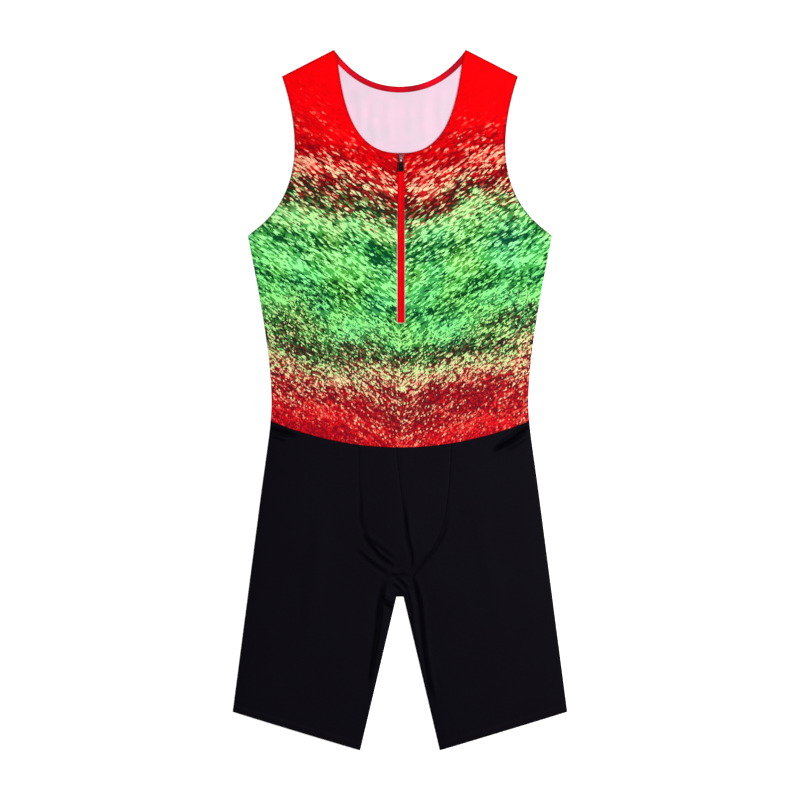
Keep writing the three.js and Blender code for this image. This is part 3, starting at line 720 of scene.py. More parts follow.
@dataclass(frozen=True)
class Stretch:
    """One stretch of a panel between two rails, with its rows.

    Attributes:
        inner: The rail on the inside edge.
        outer: The rail on the outside edge.
        inner_span: The shares of the inner rail where it starts and ends.
        outer_span: The same on the outer rail.
        fine_start: Whether its first rows are close together.
        fine_end: Whether its last rows are.
        length: The length that its rows are counted from, if not the longer rail's.
        dense: The length at its start whose rows are kept fine for creases.
    """

    inner: Rail
    outer: Rail
    inner_span: Point = (0.0, 1.0)
    outer_span: Point = (0.0, 1.0)
    fine_start: bool = False
    fine_end: bool = False
    length: float = 0.0
    dense: float = 0.0


def net_of(
    stretches: Sequence[Stretch], top: Rail, bottom: Rail, step: float, columns: Array | None = None
) -> Array:
    """Make a panel's net from its stretches and its top and bottom rails.

    Args:
        stretches: The stretches from the top down.
        top: The rail across the top, from inside to outside.
        bottom: The rail across the bottom.
        step: The usual distance between points.
        columns: Shares across, if the usual ones don't serve.

    Returns:
        The net.
    """
    inner, outer, run = [], [], []
    for number, part in enumerate(stretches):
        (a0, a1), (b0, b1) = part.inner_span, part.outer_span
        length = part.length or max(part.inner.length() * (a1 - a0), part.outer.length() * (b1 - b0))
        shares = spaced(length, step, part.fine_start, part.fine_end, part.dense)
        if number:
            shares = shares[1:]
        inner.append(part.inner.at(a0 + shares * (a1 - a0)))
        outer.append(part.outer.at(b0 + shares * (b1 - b0)))
        start = run[-1][-1] if run else 0.0
        run.append(start + shares * length)
    u = spaced(max(top.length(), bottom.length()), step) if columns is None else columns
    v = np.concatenate(run)
    return fill_net(top.at(u), bottom.at(u), np.concatenate(inner), np.concatenate(outer), u, v / v[-1])


# ---- the suit's own shape


def corner(node: str, high: bool) -> Array:
    """A node's lowest or highest corner in millimetres."""
    return np.array(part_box(node)[1 if high else 0]) / MM


@dataclass
class Pattern:
    """The outline and seams of the suit, on the wearer's left unless they are named otherwise.

    The outermost places are read from the frame, and the rest are the pattern's own points.
    """

    neck_x: float = 87.0
    shoulder_tip: Point = (155.8, 427.0)
    underarm_y: float = 216.1
    waist_side: Point = (170.7, -27.4)
    waist_dip: float = -62.4
    hip: Point = (184.0, -129.0)
    hem_outer_y: float = -411.3
    hem_inner_x: float = 52.5
    crotch: Point = (4.6, -259.5)
    gusset_foot: Point = (6.6, -268.0)
    front_neck_depth: float = 325.6
    back_neck_depth: float = 413.6
    pouch_left_x: float = 67.6
    pouch_middle_x: float = -5.0
    pouch_right_x: float = -54.8
    gusset_left: Point = (18.5, -232.0)
    gusset_right: Point = (-10.0, -219.0)
    middle_seam_share: float = 0.72
    slit_gap: float = 0.3

    def __post_init__(self) -> None:
        """Take the outermost places and the zip's from the frame, and draw the rails."""
        self.neck_point = (self.neck_x, corner("front_top", True)[1])
        underarm = (corner("front_top", True)[0], self.underarm_y)
        leg_low, leg_high = corner("front_leg_left", False), corner("front_leg_left", True)
        hem_outer = (leg_high[0], self.hem_outer_y)
        self.hem_inner = (self.hem_inner_x, leg_low[1])
        tape_low, tape_high = corner("zip_tape_right", False), corner("zip_tape_left", True)
        self.zip_x = (tape_low[0] + tape_high[0]) / 2
        self.zip_half = (tape_high[0] - tape_low[0]) / 2
        self.slit_end = tape_low[1] - self.slit_gap
        # From the neck over the shoulder and down the side
        self.back_neck = Rail((self.neck_point, (59, 424), (29, 414), (0, self.back_neck_depth)))
        self.shoulder = Rail((self.neck_point, self.shoulder_tip))
        self.armhole = Rail((self.shoulder_tip, (102, 265), (195, 226), underarm))
        self.top_side = Rail((underarm, (185, 137), (164, 30), self.waist_side))
        self.hip_side = Rail((self.waist_side, (172, -46), (178.1, -84), self.hip))
        self.leg_side = Rail((self.hip, hem_outer))
        # Across the hem and up the inside leg
        self.hem = Rail((self.hem_inner, hem_outer))
        self.inner_leg = Rail((self.gusset_foot, self.hem_inner))
        self.back_inner_leg = Rail((self.crotch, self.hem_inner))
        # The front panel's seams and the gusset's
        self.gusset_arc = Rail((self.gusset_right, (0, -216.5), (15, -219), self.gusset_left))
        foot = tuple(self.gusset_arc.at(np.array([self.middle_seam_share]))[0])
        self.pouch_left = Rail((self.waist(self.pouch_left_x), (63, -205), (42, -190), self.gusset_left))
        self.pouch_middle = Rail((self.waist(self.pouch_middle_x), (9, -213), (21, -183), foot))
        ends = (self.waist(self.pouch_right_x), self.gusset_right)
        self.pouch_right = Rail((ends[0], (-55, -208), (-28, -199), ends[1]))
        self.gusset_left_seam = Rail((self.gusset_left, (18.5, -244), (14, -256), self.gusset_foot))
        foot = (-self.gusset_foot[0], self.gusset_foot[1])
        self.gusset_right_seam = Rail((self.gusset_right, (-18, -232), (-15, -254), foot))

    def waist(self, x: float) -> Point:
        """The waist seam's place at x."""
        rise = self.waist_side[1] - self.waist_dip
        return (x, self.waist_dip + rise * (x / self.waist_side[0]) ** 2)

    def waist_rail(self, x0: float, x1: float) -> Rail:
        """The waist seam between two places across, as one bend.

        Args:
            x0: Where it starts.
            x1: Where it ends.

        Returns:
            The rail.
        """
        (_, y0), (_, y1) = self.waist(x0), self.waist(x1)
        rise = (self.waist_side[1] - self.waist_dip) / self.waist_side[0] ** 2
        middle = ((x0 + x1) / 2, y0 + 2 * rise * x0 * (x1 - x0) / 2)
        near = [tuple((a + 2 * m) / 3 for a, m in zip(end, middle)) for end in ((x0, y0), (x1, y1))]
        return Rail(((x0, y0), near[0], near[1], (x1, y1)))

    def slit_x(self, side: int) -> float:
        """The edge of the zip's slit on one side of the zip."""
        return self.zip_x + side * (self.zip_half + self.slit_gap)

    def front_neck(self, side: int) -> Rail:
        """The front neckline from the neck point to the zip's edge, on one side."""
        top, foot = (side * self.neck_x, self.neck_point[1]), (self.slit_x(side), self.front_neck_depth)
        return Rail((top, (side * 76.3, 456), (side * 85.5, 327), foot))


# Where the roll beside a crease is and how wide it is, in widths of the crease
LIP_PLACE = 2.6
LIP_WIDTH = 1.5


@dataclass(frozen=True)
class Crease:
    """A soft crease along a path: a ridge, or a trough where its rise is below zero.

    Attributes:
        path: Points along it.
        width: Its half width on the path's left, where it has fallen to a third.
        rise: Its height in the middle.
        fade: The length over which each end fades.
        far: Its half width on the path's right, or 0 for the same.
        lip: The height of a low roll beyond its left side.
    """

    path: tuple[Point, ...]
    width: float
    rise: float
    fade: float = 14.0
    far: float = 0.0
    lip: float = 0.0

    def at(self, points: Array) -> Array:
        """The crease's height at points.

        Args:
            points: Rows of x and y.

        Returns:
            Heights in millimetres.
        """
        path = np.array(self.path, float)
        gap, along, left = distance_to(points, path)
        ends = smooth_step(along / self.fade) * smooth_step((length_of(path) - along) / self.fade)
        reach = np.where(left, self.width, self.far or self.width)
        roll = np.exp(-(((gap - LIP_PLACE * self.width) / (LIP_WIDTH * self.width)) ** 2)) * left
        return ends * (self.rise * np.exp(-((gap / reach) ** 2)) + self.lip * roll)


# Each crease has its path, width and rise, and then its fade, far width and lip
FRONT_CREASES = (
    # Where the waist is drawn in at both side seams
    Crease(((176, -30), (163, -41), (144, -55), (118, -70)), 2.0, -2.3, 16, 3.0, 0.4),
    Crease(((180, -24), (166, -34), (146, -49), (126, -61)), 2.4, 1.6, 14),
    Crease(((178, -42), (160, -53), (138, -67)), 2.8, 1.4, 14),
    Crease(((-186, -30), (-169, -37), (-150, -43), (-134, -49)), 2.0, -2.4, 14, 3.2, 0.5),
    Crease(((-188, -40), (-166, -47), (-144, -53)), 2.6, 1.7, 12),
    # Along the seams of the front panel
    Crease(((4, -126), (6.5, -150), (9.5, -181), (14, -199), (17.5, -232)), 1.7, -1.35, 40, 3.2, 0.3),
    Crease(((-54, -110), (-52, -158), (-45, -180), (-34, -196)), 1.6, -0.9, 40, 3.0, 0.2),
    Crease(((-52, -172), (-44, -184), (-27, -206), (-6, -221)), 1.8, -1.5, 18, 3.2, 0.4),
    Crease(((-46, -180), (-33, -190), (-16, -204), (-4, -211)), 2.0, -0.7, 12, 3.0, 0.3),
    Crease(((-60, -196), (-36, -216), (-21, -226), (-13, -237)), 1.7, -1.3, 18, 3.0, 0.4),
    Crease(((64, -150), (58, -175), (46, -198), (33, -211), (18, -236)), 2.0, -0.7, 30, 3.0, 0.2),
    # Where the gusset is gathered
    Crease(((-14, -230), (-2, -232), (12, -229)), 1.5, -0.8, 5, 2.6, 0.7),
    Crease(((-7, -233), (0, -238), (10, -249)), 1.3, -1.6, 4, 2.6, 0.9),
    Crease(((-10, -242), (-3, -248), (5, -257)), 1.4, -1.0, 4, 2.6, 0.6),
    # Down the inside of both legs
    Crease(
        ((15, -230), (21, -248), (26, -267), (29, -298), (32, -328), (38, -369), (45, -402)),
        *(1.9, -2.1, 26, 3.0, 0.6),
    ),
    Crease(((11, -244), (16, -267), (19, -298), (25, -340), (36, -385)), 2.2, 1.3, 16),
    Crease(
        ((-16, -236), (-24, -252), (-28, -267), (-31, -300), (-36, -339), (-42, -380)),
        *(2.6, -1.9, 20, 2.4),
    ),
    Crease(((-14, -246), (-20, -262), (-23, -300), (-29, -335), (-33, -364), (-40, -398)), 2.3, 1.7),
    # The deep tuck below the gusset
    Crease(((-23, -266), (-16, -270), (-8, -275)), 1.8, -2.6, 4, 2.6, 0.8),
    Crease(((-24, -259), (-16, -262), (-8, -266)), 2.4, 3.0, 4, 1.9),
    # Faint rolls over the body
    Crease(((60, 252), (110, 214), (178, 182)), 16.0, 0.5, 50),
    Crease(((-50, 236), (-110, 208), (-172, 196)), 16.0, 0.4, 50),
    Crease(((-110, 18), (0, 34), (96, 48)), 18.0, 0.35, 60),
    Crease(((-150, 90), (-138, 40), (-140, -10)), 8.0, 0.6, 40),
    Crease(((148, 120), (140, 60), (146, 0)), 9.0, 0.6, 40),
    Crease(((176, 210), (150, 196), (128, 190)), 7.0, 0.5, 20),
    Crease(((-176, 210), (-152, 198), (-130, 194)), 7.0, 0.45, 20),
    Crease(((96, -130), (118, -220), (140, -330)), 12.0, 0.6, 70),
    Crease(((-100, -120), (-112, -230), (-128, -330)), 11.0, 0.6, 70),
)
BACK_CREASES = (
    Crease(((-56, 418), (-50, 380), (-53, 340)), 4.6, 0.9, 22),
    Crease(((-34, 404), (-35, 368), (-30, 326)), 4.2, 0.8, 22),
    Crease(((-14, 404), (-16, 372), (-12, 336)), 5.0, 0.6, 22),
    Crease(((10, 402), (15, 368), (11, 335)), 4.6, 0.5, 22),
    Crease(((34, 404), (31, 376), (36, 332)), 4.6, 0.7, 22),
    Crease(((58, 420), (53, 384), (57, 346)), 4.6, 0.8, 22),
    Crease(((-140, -10), (-90, -36), (-20, -50)), 7.0, 0.7, 30),
    Crease(((150, 0), (100, -30), (40, -44)), 6.0, 0.7, 30),
    Crease(((20, -250), (40, -300), (52, -350)), 6.0, 0.7, 30),
    Crease(((-24, -252), (-44, -310), (-60, -370)), 6.0, 0.7, 30),
    Crease(((-120, -100), (-132, -200), (-150, -320)), 10.0, 0.6, 60),
    Crease(((118, -110), (126, -200), (146, -300)), 10.0, 0.6, 60),
    Crease(((-150, 190), (-100, 176), (-50, 182)), 9.0, 0.6, 40),
    Crease(((152, 186), (108, 170), (60, 176)), 9.0, 0.6, 40),
)


@dataclass
class Lie:
    """How the two layers lie: the back flat, and the front risen a little between its edges.

    Attributes:
        deep: The rise below which shade is painted in a crease, and the depth at which that painted shade
            is darkest.
        zip_hold: How far from the zip's middle the press starts, and the length over which it grows.
        swell: The front panel's rise, its middle across and up, and its half width and half height.
    """

    pattern: Pattern
    base: float = 1.5
    loft: float = 2.2
    reach: float = 24.0
    onset: float = 3.0
    deep: Point = (-0.6, 2.4)
    neck_press: float = 0.76
    neck_reach: float = 15.0
    zip_hold: Point = (8.0, 26.0)
    swell: tuple[float, ...] = (1.6, 5.0, -165.0, 42.0, 60.0)
    back_lift: float = 0.12
    front_creases: tuple[Crease, ...] = FRONT_CREASES
    back_creases: tuple[Crease, ...] = BACK_CREASES

    def __post_init__(self) -> None:
        """Sample the side edge once."""
        pattern = self.pattern
        rails = (pattern.armhole, pattern.top_side, pattern.hip_side, pattern.leg_side)
        edge = np.concatenate([rail.at(np.linspace(0, 1, 120)) for rail in rails])
        self._side = edge[np.argsort(edge[:, 1])]

    def _room(self, points: Array) -> Array:
        """Measure how far in from the nearest edge that holds the layers together points are.

        Args:
            points: Rows of x and y.

        Returns:
            Distances in millimetres.
        """
        pattern = self.pattern
        x, y = np.abs(points[:, 0]), points[:, 1]
        side = np.interp(y, self._side[:, 1], self._side[:, 0]) - x
        cx, cy = pattern.crotch
        slope = (pattern.hem_inner[0] - cx) / (cy - pattern.hem_inner[1])
        leg = x - np.where(y < cy, cx + slope * (cy - y), cx - (y - cy))
        (nx, ny), (sx, sy) = pattern.neck_point, pattern.shoulder_tip
        run, drop = sx - nx, ny - sy
        shoulder = -((x - nx) * drop + (y - ny) * run) / math.hypot(run, drop)
        return np.maximum(0, np.minimum(np.minimum(side, leg), shoulder))

    def _pressed(self, points: Array) -> Array:
        """Say how far the front keeps off the back along the neckline: less away from the stiff zip.

        Args:
            points: Rows of x and y.

        Returns:
            Shares of its full rise.
        """
        gap = np.full(len(points), np.inf)
        near = points[:, 1] > self.pattern.front_neck_depth - 3 * self.neck_reach
        for side in (1, -1):
            edge = self.pattern.front_neck(side).at(np.linspace(0, 1, 60))
            gap[near] = np.minimum(gap[near], distance_to(points[near], edge)[0])
        start, length = self.zip_hold
        away = smooth_step((np.abs(points[:, 0] - self.pattern.zip_x) - start) / length)
        return 1 - self.neck_press * away * np.exp(-((gap / self.neck_reach) ** 2))

    def front(self, points: Array) -> Array:
        """The front layer's underside.

        Args:
            points: Rows of x and y.

        Returns:
            Heights in millimetres.
        """
        full = 1 - np.exp(-self._room(points) / self.reach)
        full *= self._pressed(points)
        creased = np.minimum(1, full * self.onset)
        rise, mx, my, wide, long = self.swell
        pouch = rise * np.exp(-(((points[:, 0] - mx) / wide) ** 2) - ((points[:, 1] - my) / long) ** 2)
        creases = sum(crease.at(points) for crease in self.front_creases)
        return self.base + np.maximum(0, full * (self.loft + pouch) + creased * creases)

    def front_shadow(self, points: Array) -> Array:
        """How much shade is painted in the front's deep creases at points, from 0 to 1."""
        creases = sum(crease.at(points) for crease in self.front_creases if crease.rise < self.deep[0])
        return np.clip(-creases / self.deep[1], 0, 1)

    def back(self, points: Array) -> Array:
        """The back layer's underside, which rests on the surface but for a few shallow creases."""
        creases = sum(crease.at(points) for crease in self.back_creases)
        return self.back_lift + np.maximum(0, creases)


# ---- cloth shells


class Edge(Enum):
    """How an edge of a panel is finished."""

    FREE = "turned and pressed, with a round edge"
    SEAM = "sewn to the next panel, in a fine groove"
    FLUSH = "sewn flat to the next panel, in a line that barely shows"
    JOINED = "sewn to the other layer, and drawn to it"
    HEM = "turned and stitched, twice as thick over its width"


EDGE_RADIUS = {Edge.FREE: 0.8, Edge.HEM: 0.9, Edge.SEAM: 1.3, Edge.FLUSH: 0.8, Edge.JOINED: 2.4}
# How far the right side falls into a seam, as a share of the cloth's thickness
SEAM_FALL = {Edge.SEAM: 0.42, Edge.FLUSH: 0.08}


class Layer(Enum):
    """Which layer of the laid suit a panel is in, and which way its right side faces."""

    FRONT = 1
    BACK = -1


@dataclass(frozen=True)
class Finish:
    """An edge's path and how it is finished.

    Attributes:
        edge: How it is finished.
        path: Its points.
        fold: How much shade is painted on the cloth where it turns over the edge, from 0 to 1.
        pale: How much of the white yarn shows at the cut, from 0 to 1.
    """

    edge: Edge
    path: Array
    fold: float = 0.0
    pale: float = 0.0


def make_piece(
    name: str,
    vertices: Sequence[Sequence[float]],
    faces: Sequence[Sequence[int]],
    materials: Sequence[Material],
    finishes: Sequence[int],
) -> bpy.types.Object:
    """Make a smooth piece from its mesh.

    Args:
        name: The piece's name.
        vertices: Its points in metres.
        faces: The numbers of each face's points.
        materials: Its materials.
        finishes: Which of the materials each face has.

    Returns:
        The piece.
    """
    mesh = bpy.data.meshes.new(name)
    mesh.from_pydata(vertices, [], faces)
    for material in materials:
        mesh.materials.append(material)
    mesh.polygons.foreach_set("material_index", finishes)
    mesh.polygons.foreach_set("use_smooth", [True] * len(faces))
    mesh.update()
    piece = bpy.data.objects.new(name, mesh)
    bpy.context.scene.collection.objects.link(piece)
    return piece


def join_nets(nets: Nets) -> tuple[Array, Array]:
    """Join nets at the points that they share, to a micrometre.

    Args:
        nets: The nets.

    Returns:
        The points, and the cells as rows of four point numbers that turn one way.
    """
    everywhere = np.concatenate([net.reshape(-1, 2) for net in nets])
    keys = np.round(everywhere * 1000).astype(np.int64)
    codes = keys[:, 0] * 10_000_000 + keys[:, 1]
    _, first, where = np.unique(codes, return_index=True, return_inverse=True)
    flat, start, cells = everywhere[first], 0, []
    for net in nets:
        rows, columns = net.shape[:2]
        index = where[start : start + rows * columns].reshape(rows, columns)
        start += rows * columns
        loops = np.stack([index[:-1, :-1], index[1:, :-1], index[1:, 1:], index[:-1, 1:]], axis=-1)
        corners = flat[loops]
        ahead = np.roll(corners, -1, axis=-2)
        turn = (corners[..., 0] * ahead[..., 1] - ahead[..., 0] * corners[..., 1]).sum(-1)
        loops[turn < 0] = loops[turn < 0][:, ::-1]
        cells.append(loops.reshape(-1, 4))
    return flat, np.concatenate(cells)


@dataclass
class Cloth:
    """One panel of cloth as a closed thin shell.

    Attributes:
        name: The piece's name.
        nodes: The CAD nodes it stands for.
        slot: The record's material slot; not used.
        nets: Its nets, which share their common points.
        finishes: Its edges.
        layer: Front or back.
        underside: The height of its underside at points.
        outer: The material on its right side.
        inner: The material on its wrong side.
        thickness: The cloth's thickness.
        seam_height: The height where the two layers are joined.
        join_apart: How far each layer keeps to its own side of that height.
        join_half: Half the cloth's thickness there.
        shade_reach: How far in from an edge its painted dark shade and its pale bare yarn reach.
        shadow: How much shade is painted in its creases at points, from 0 to 1.
    """

    name: str
    nodes: tuple[str, ...]
    slot: str
    nets: Nets
    finishes: Sequence[Finish]
    layer: Layer
    underside: Heights
    outer: Material
    inner: Material
    thickness: float = 0.95
    seam_height: float = 1.34
    join_apart: float = 0.08
    join_half: float = 0.07
    seam_dip: float = 0.24
    seam_reach: float = 3.0
    edge_round: float = 0.85
    hem_width: float = 8.0
    hem_step: float = 1.0
    hem_extra: float = 0.45
    shade_reach: Point = (2.0, 0.9)
    shadow: Heights | None = None

    def faces(self, points: Array) -> tuple[Array, Array]:
        """The heights of the lower and the upper skin, with the edges' finishes.

        Args:
            points: Rows of x and y.

        Returns:
            The lower heights and the upper heights.
        """
        lower = self.underside(points)
        thick = np.full(len(points), self.thickness)
        gaps = [(finish.edge, distance_to(points, finish.path)[0]) for finish in self.finishes]
        if self.layer is Layer.FRONT:
            seams = [gap for edge, gap in gaps if edge is Edge.SEAM]
            near = np.min(seams, axis=0) if seams else np.full(len(points), np.inf)
            lower = lower - self.seam_dip * np.exp(-((near / self.seam_reach) ** 2))
        for edge, gap in gaps:
            if edge is Edge.HEM:
                past = (gap - self.hem_width + self.hem_step / 2) / self.hem_step
                thick += self.hem_extra * (1 - smooth_step(past))
        upper = lower + thick
        for edge, gap in gaps:
            q = np.clip(1 - gap / EDGE_RADIUS[edge], 0, 1)
            round_off = 1 - np.sqrt(1 - q**2)
            if edge in SEAM_FALL:
                fall = SEAM_FALL[edge] * round_off * thick
                upper, lower = (upper - fall, lower) if self.layer is Layer.FRONT else (upper, lower + fall)
            elif edge is Edge.JOINED:
                middle = self.seam_height + self.join_apart * self.layer.value
                upper = upper + round_off * (middle + self.join_half - upper)
                lower = lower + round_off * (middle - self.join_half - lower)
            else:
                middle = (lower + upper) / 2
                upper = upper + self.edge_round * round_off * (middle - upper)
                lower = lower + self.edge_round * round_off * (middle - lower)
        return lower, upper

    def top_at(self, points: Array) -> Array:
        """The upper skin's height at points."""
        return self.faces(points)[1]

    def _shade(self, mesh: bpy.types.Mesh, points: Array) -> None:
        """Write on the mesh how much shade is painted at its edges and in its creases, and how pale its
        edges are.

        Args:
            mesh: The panel's mesh, whose two skins share these points.
            points: Rows of x and y.
        """
        for name, reach in zip(SHADES, self.shade_reach):
            level = np.zeros(len(points))
            # Painted shade in the deep creases, where there is any
            if name == "fold" and self.shadow:
                level = self.shadow(points)
            for finish in self.finishes:
                amount = getattr(finish, name)
                if amount:
                    gap = distance_to(points, finish.path)[0]
                    level = np.maximum(level, amount * np.exp(-((gap / reach) ** 2)))
            made = mesh.attributes.new(f"{name}_shade", "FLOAT", "POINT")
            made.data.foreach_set("value", np.tile(level, 2).astype(np.float32))

    def lay(self) -> "Cloth":
        """Make the panel as a piece of the garment, and hide the solids that it stands for.

        Returns:
            The panel itself.
        """
        flat, cells = join_nets(self.nets)
        lower, upper = self.faces(flat)
        count = len(flat)
        vertices = np.concatenate([np.column_stack([flat, skin]) for skin in (lower, upper)]) * MM
        edges = np.stack([cells, np.roll(cells, -1, axis=1)], axis=-1).reshape(-1, 2)
        codes, opposite = edges[:, 0] * count + edges[:, 1], edges[:, 1] * count + edges[:, 0]
        rim = edges[~np.isin(codes, opposite)]
        under = cells[:, ::-1].tolist()
        over = (cells + count).tolist()
        walls = np.column_stack([rim[:, 0], rim[:, 1], rim[:, 1] + count, rim[:, 0] + count]).tolist()
        below = 1 if self.layer is Layer.FRONT else 0
        sides = [below] * len(under) + [1 - below] * len(over) + [0] * len(walls)
        materials = (self.outer, self.inner)
        piece = make_piece(self.name, vertices.tolist(), under + over + walls, materials, sides)
        self._shade(piece.data, flat)
        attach(piece, "garment")
        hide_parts(*self.nodes)
        return self


# ---- stitches and hard parts


def skin_faces(start: int, size: int, count: int, looped: bool = False) -> Faces:
    """Number the faces of a closed skin through rings of points.

    Args:
        start: The number of its first point.
        size: The points in each ring.
        count: The rings.
        looped: Whether the last ring joins the first, instead of both ends being closed.

    Returns:
        The faces.
    """
    faces = []
    for ring in range(count if looped else count - 1):
        here, above = start + ring * size, start + (ring + 1) % count * size
        faces += [(here + k, here + (k + 1) % size, above + (k + 1) % size, above + k) for k in range(size)]
    if not looped:
        faces.append(tuple(range(start + size - 1, start - 1, -1)))
        faces.append(tuple(range(above, above + size)))
    return faces


@dataclass(frozen=True)
class StitchRow:
    """Rows of lock stitches along paths on a panel.

    Attributes:
        name: The piece's name.
        slot: The record's material slot; not used.
        pitch: The distance from stitch to stitch.
        length: A stitch's length.
        thread: The thread's thickness.
        sunk: How much of the thread lies under the surface, as a share of its thickness.
        down: Whether the stitches are on the underside.
        end_dip: How far a stitch's ends sink, in half thicknesses.
        rings: Places along half a stitch, with the share of the thread's thickness there.
    """

    name: str
    slot: str
    pitch: float
    length: float
    thread: float
    sunk: float = 0.35
    down: bool = False
    sides: int = 6
    ahead: float = 0.3
    end_dip: float = 0.9
    rings: tuple[Point, ...] = (
        *((-1.0, 0.25), (-0.8, 0.75), (-0.35, 1.0)),
        *((0.35, 1.0), (0.8, 0.75), (1.0, 0.25)),
    )

    def build(self, paths: Nets, height: Heights, material: Material) -> None:
        """Make every stitch of the rows as one mesh.

        Args:
            paths: The rows' paths.
            height: The cloth's height at points.
            material: The thread.
        """
        vertices: list[Size] = []
        faces: Faces = []
        radius, upward = self.thread / 2, -1 if self.down else 1
        lift = radius * (1 - 2 * self.sunk) * upward
        for path in paths:
            count = int((lengths_along(path)[-1] - 0.6 * self.pitch) // self.pitch)
            centres = self.pitch * 0.8 + self.pitch * np.arange(count)
            middle, ahead = places_along(path, centres), places_along(path, centres + self.ahead)
            along = (ahead - middle) / np.linalg.norm(ahead - middle, axis=1)[:, None]
            ends = [height(middle + along * share * self.length / 2) for share in (-1, 1)]
            for centre, way, low, high in zip(middle, along, *ends):
                across = np.array([-way[1], way[0]])
                faces += skin_faces(len(vertices), self.sides, len(self.rings))
                for share, girth in self.rings:
                    spot = centre + way * share * self.length / 2
                    dip = radius * self.end_dip * share**4 * upward
                    level = low + (high - low) * (share + 1) / 2 + lift - dip
                    for turn in (2 * math.pi * k / self.sides for k in range(self.sides)):
                        x, y = (spot + across * math.cos(turn) * girth * radius) * MM
                        vertices.append((x, y, (level + math.sin(turn) * girth * radius) * MM))
        piece = make_piece(self.name, vertices, faces, (material,), [0] * len(faces))
        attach(piece, "garment")


def rounded(corners: Sequence[Point], radius: float, turns: int = 6) -> Array:
    """Round a polygon's corners.

    Args:
        corners: Its corners, counter-clockwise.
        radius: How far each rounding reaches along the sides.
        turns: Points in each rounding, less one.

    Returns:
        Rows of x and y.
    """
    ring = np.array(corners, float)
    points = []
    for before, here, after in zip(np.roll(ring, 1, 0), ring, np.roll(ring, -1, 0)):
        reach = [min(radius / np.linalg.norm(other - here), 0.48) for other in (before, after)]
        start, end = here + (before - here) * reach[0], here + (after - here) * reach[1]
        for t in np.linspace(0, 1, turns + 1):
            points.append(start * (1 - t) ** 2 + 2 * here * t * (1 - t) + end * t**2)
    return np.array(points)


def plate(outline: Array, low: float, high: float, rounding: float, dome: float = 0.0) -> Rings:
    """Rings of a plate with rounded edges, from its underside to its top.

    Args:
        outline: Rows of x and y, counter-clockwise.
        low: Its underside.
        high: Its top at the edge.
        rounding: The radius of its edges.
        dome: How much higher its middle is.

    Returns:
        Rings of points, one above the other.
    """
    ahead = np.roll(outline, -1, 0) - np.roll(outline, 1, 0)
    inward = np.column_stack([-ahead[:, 1], ahead[:, 0]]) / np.linalg.norm(ahead, axis=1)[:, None]
    middle, size = outline.mean(axis=0), len(outline)
    angles = np.linspace(0, math.pi / 2, 5)
    levels = [(1 - math.sin(t), low + rounding * (1 - math.cos(t))) for t in angles]
    levels += [(1 - math.cos(t), high - rounding * (1 - math.sin(t))) for t in angles]
    rings = []
    for inset, z in levels:
        rings.append(np.column_stack([outline + inward * rounding * inset, np.full(size, z)]))
    rim = rings[-1][:, :2]
    for share in (0.25, 0.5, 0.75):
        level = high + dome * (1 - (1 - share) ** 2)
        rings.append(np.column_stack([rim + (middle - rim) * share, np.full(size, level)]))
    return rings


def wire(path: Array, radius: float, sides: int = 12) -> Rings:
    """Rings of a round wire along a closed path.

    Args:
        path: Rows of x, y and z, with no upright stretch.
        radius: The wire's radius.
        sides: Points around it.

    Returns:
        Rings of points, one after the other.
    """
    ahead = np.roll(path, -1, 0) - np.roll(path, 1, 0)
    ahead /= np.linalg.norm(ahead, axis=1)[:, None]
    across = np.cross(ahead, (0, 0, 1))
    across /= np.linalg.norm(across, axis=1)[:, None]
    over = np.cross(across, ahead)
    turns = np.linspace(0, 2 * math.pi, sides, endpoint=False)[:, None]
    return [p + radius * (np.cos(turns) * a + np.sin(turns) * o) for p, a, o in zip(path, across, over)]


@dataclass
class Casting:
    """A hard part put together from closed skins.

    Attributes:
        name: The piece's name.
        body: The part of the model that it moves with.
        node: The CAD node that it stands in for.
        slot: The record's material slot; not used.
        origin: The pivot, from which its skins are measured.
        tilt: How far it is turned about the pivot.
        materials: Its finishes.
        skins: Each skin's rings, the number of its finish, and whether its last ring joins the first.
    """

    name: str
    body: str
    node: str
    slot: str
    origin: Array
    tilt: float
    materials: tuple[Material, ...]
    skins: list[tuple[Rings, int, bool]] = field(default_factory=list)

    def add(self, rings: Rings, finish: int = 0, looped: bool = False) -> None:
        """Add one closed skin, whose rings are in millimetres from the pivot."""
        self.skins.append((rings, finish, looped))

    def build(self) -> None:
        """Make the piece."""
        points: Rings = []
        faces: Faces = []
        finishes: list[int] = []
        for rings, finish, looped in self.skins:
            made = skin_faces(sum(len(p) for p in points), len(rings[0]), len(rings), looped)
            points.append(np.concatenate(rings))
            faces += made
            finishes += [finish] * len(made)
        x, y, z = np.concatenate(points).T
        cos, sin = math.cos(self.tilt), math.sin(self.tilt)
        turned = np.column_stack([x, y * cos - z * sin, y * sin + z * cos])
        vertices = ((turned + self.origin) * MM).tolist()
        piece = make_piece(self.name, vertices, faces, self.materials, finishes)
        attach(piece, self.body)
        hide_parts(self.node)


# ---- sub-assemblies


def edges_of(rails: Sequence[tuple[Edge, Rail]], side: int = 1) -> list[Finish]:
    """Edges along some rails, on one side of the suit."""
    return [Finish(edge, mirror(rail.at(FULL), side)) for edge, rail in rails]


def word_for(side: int) -> str:
    """The word for a side: 1 is the wearer's left and -1 the right."""
    return "left" if side > 0 else "right"


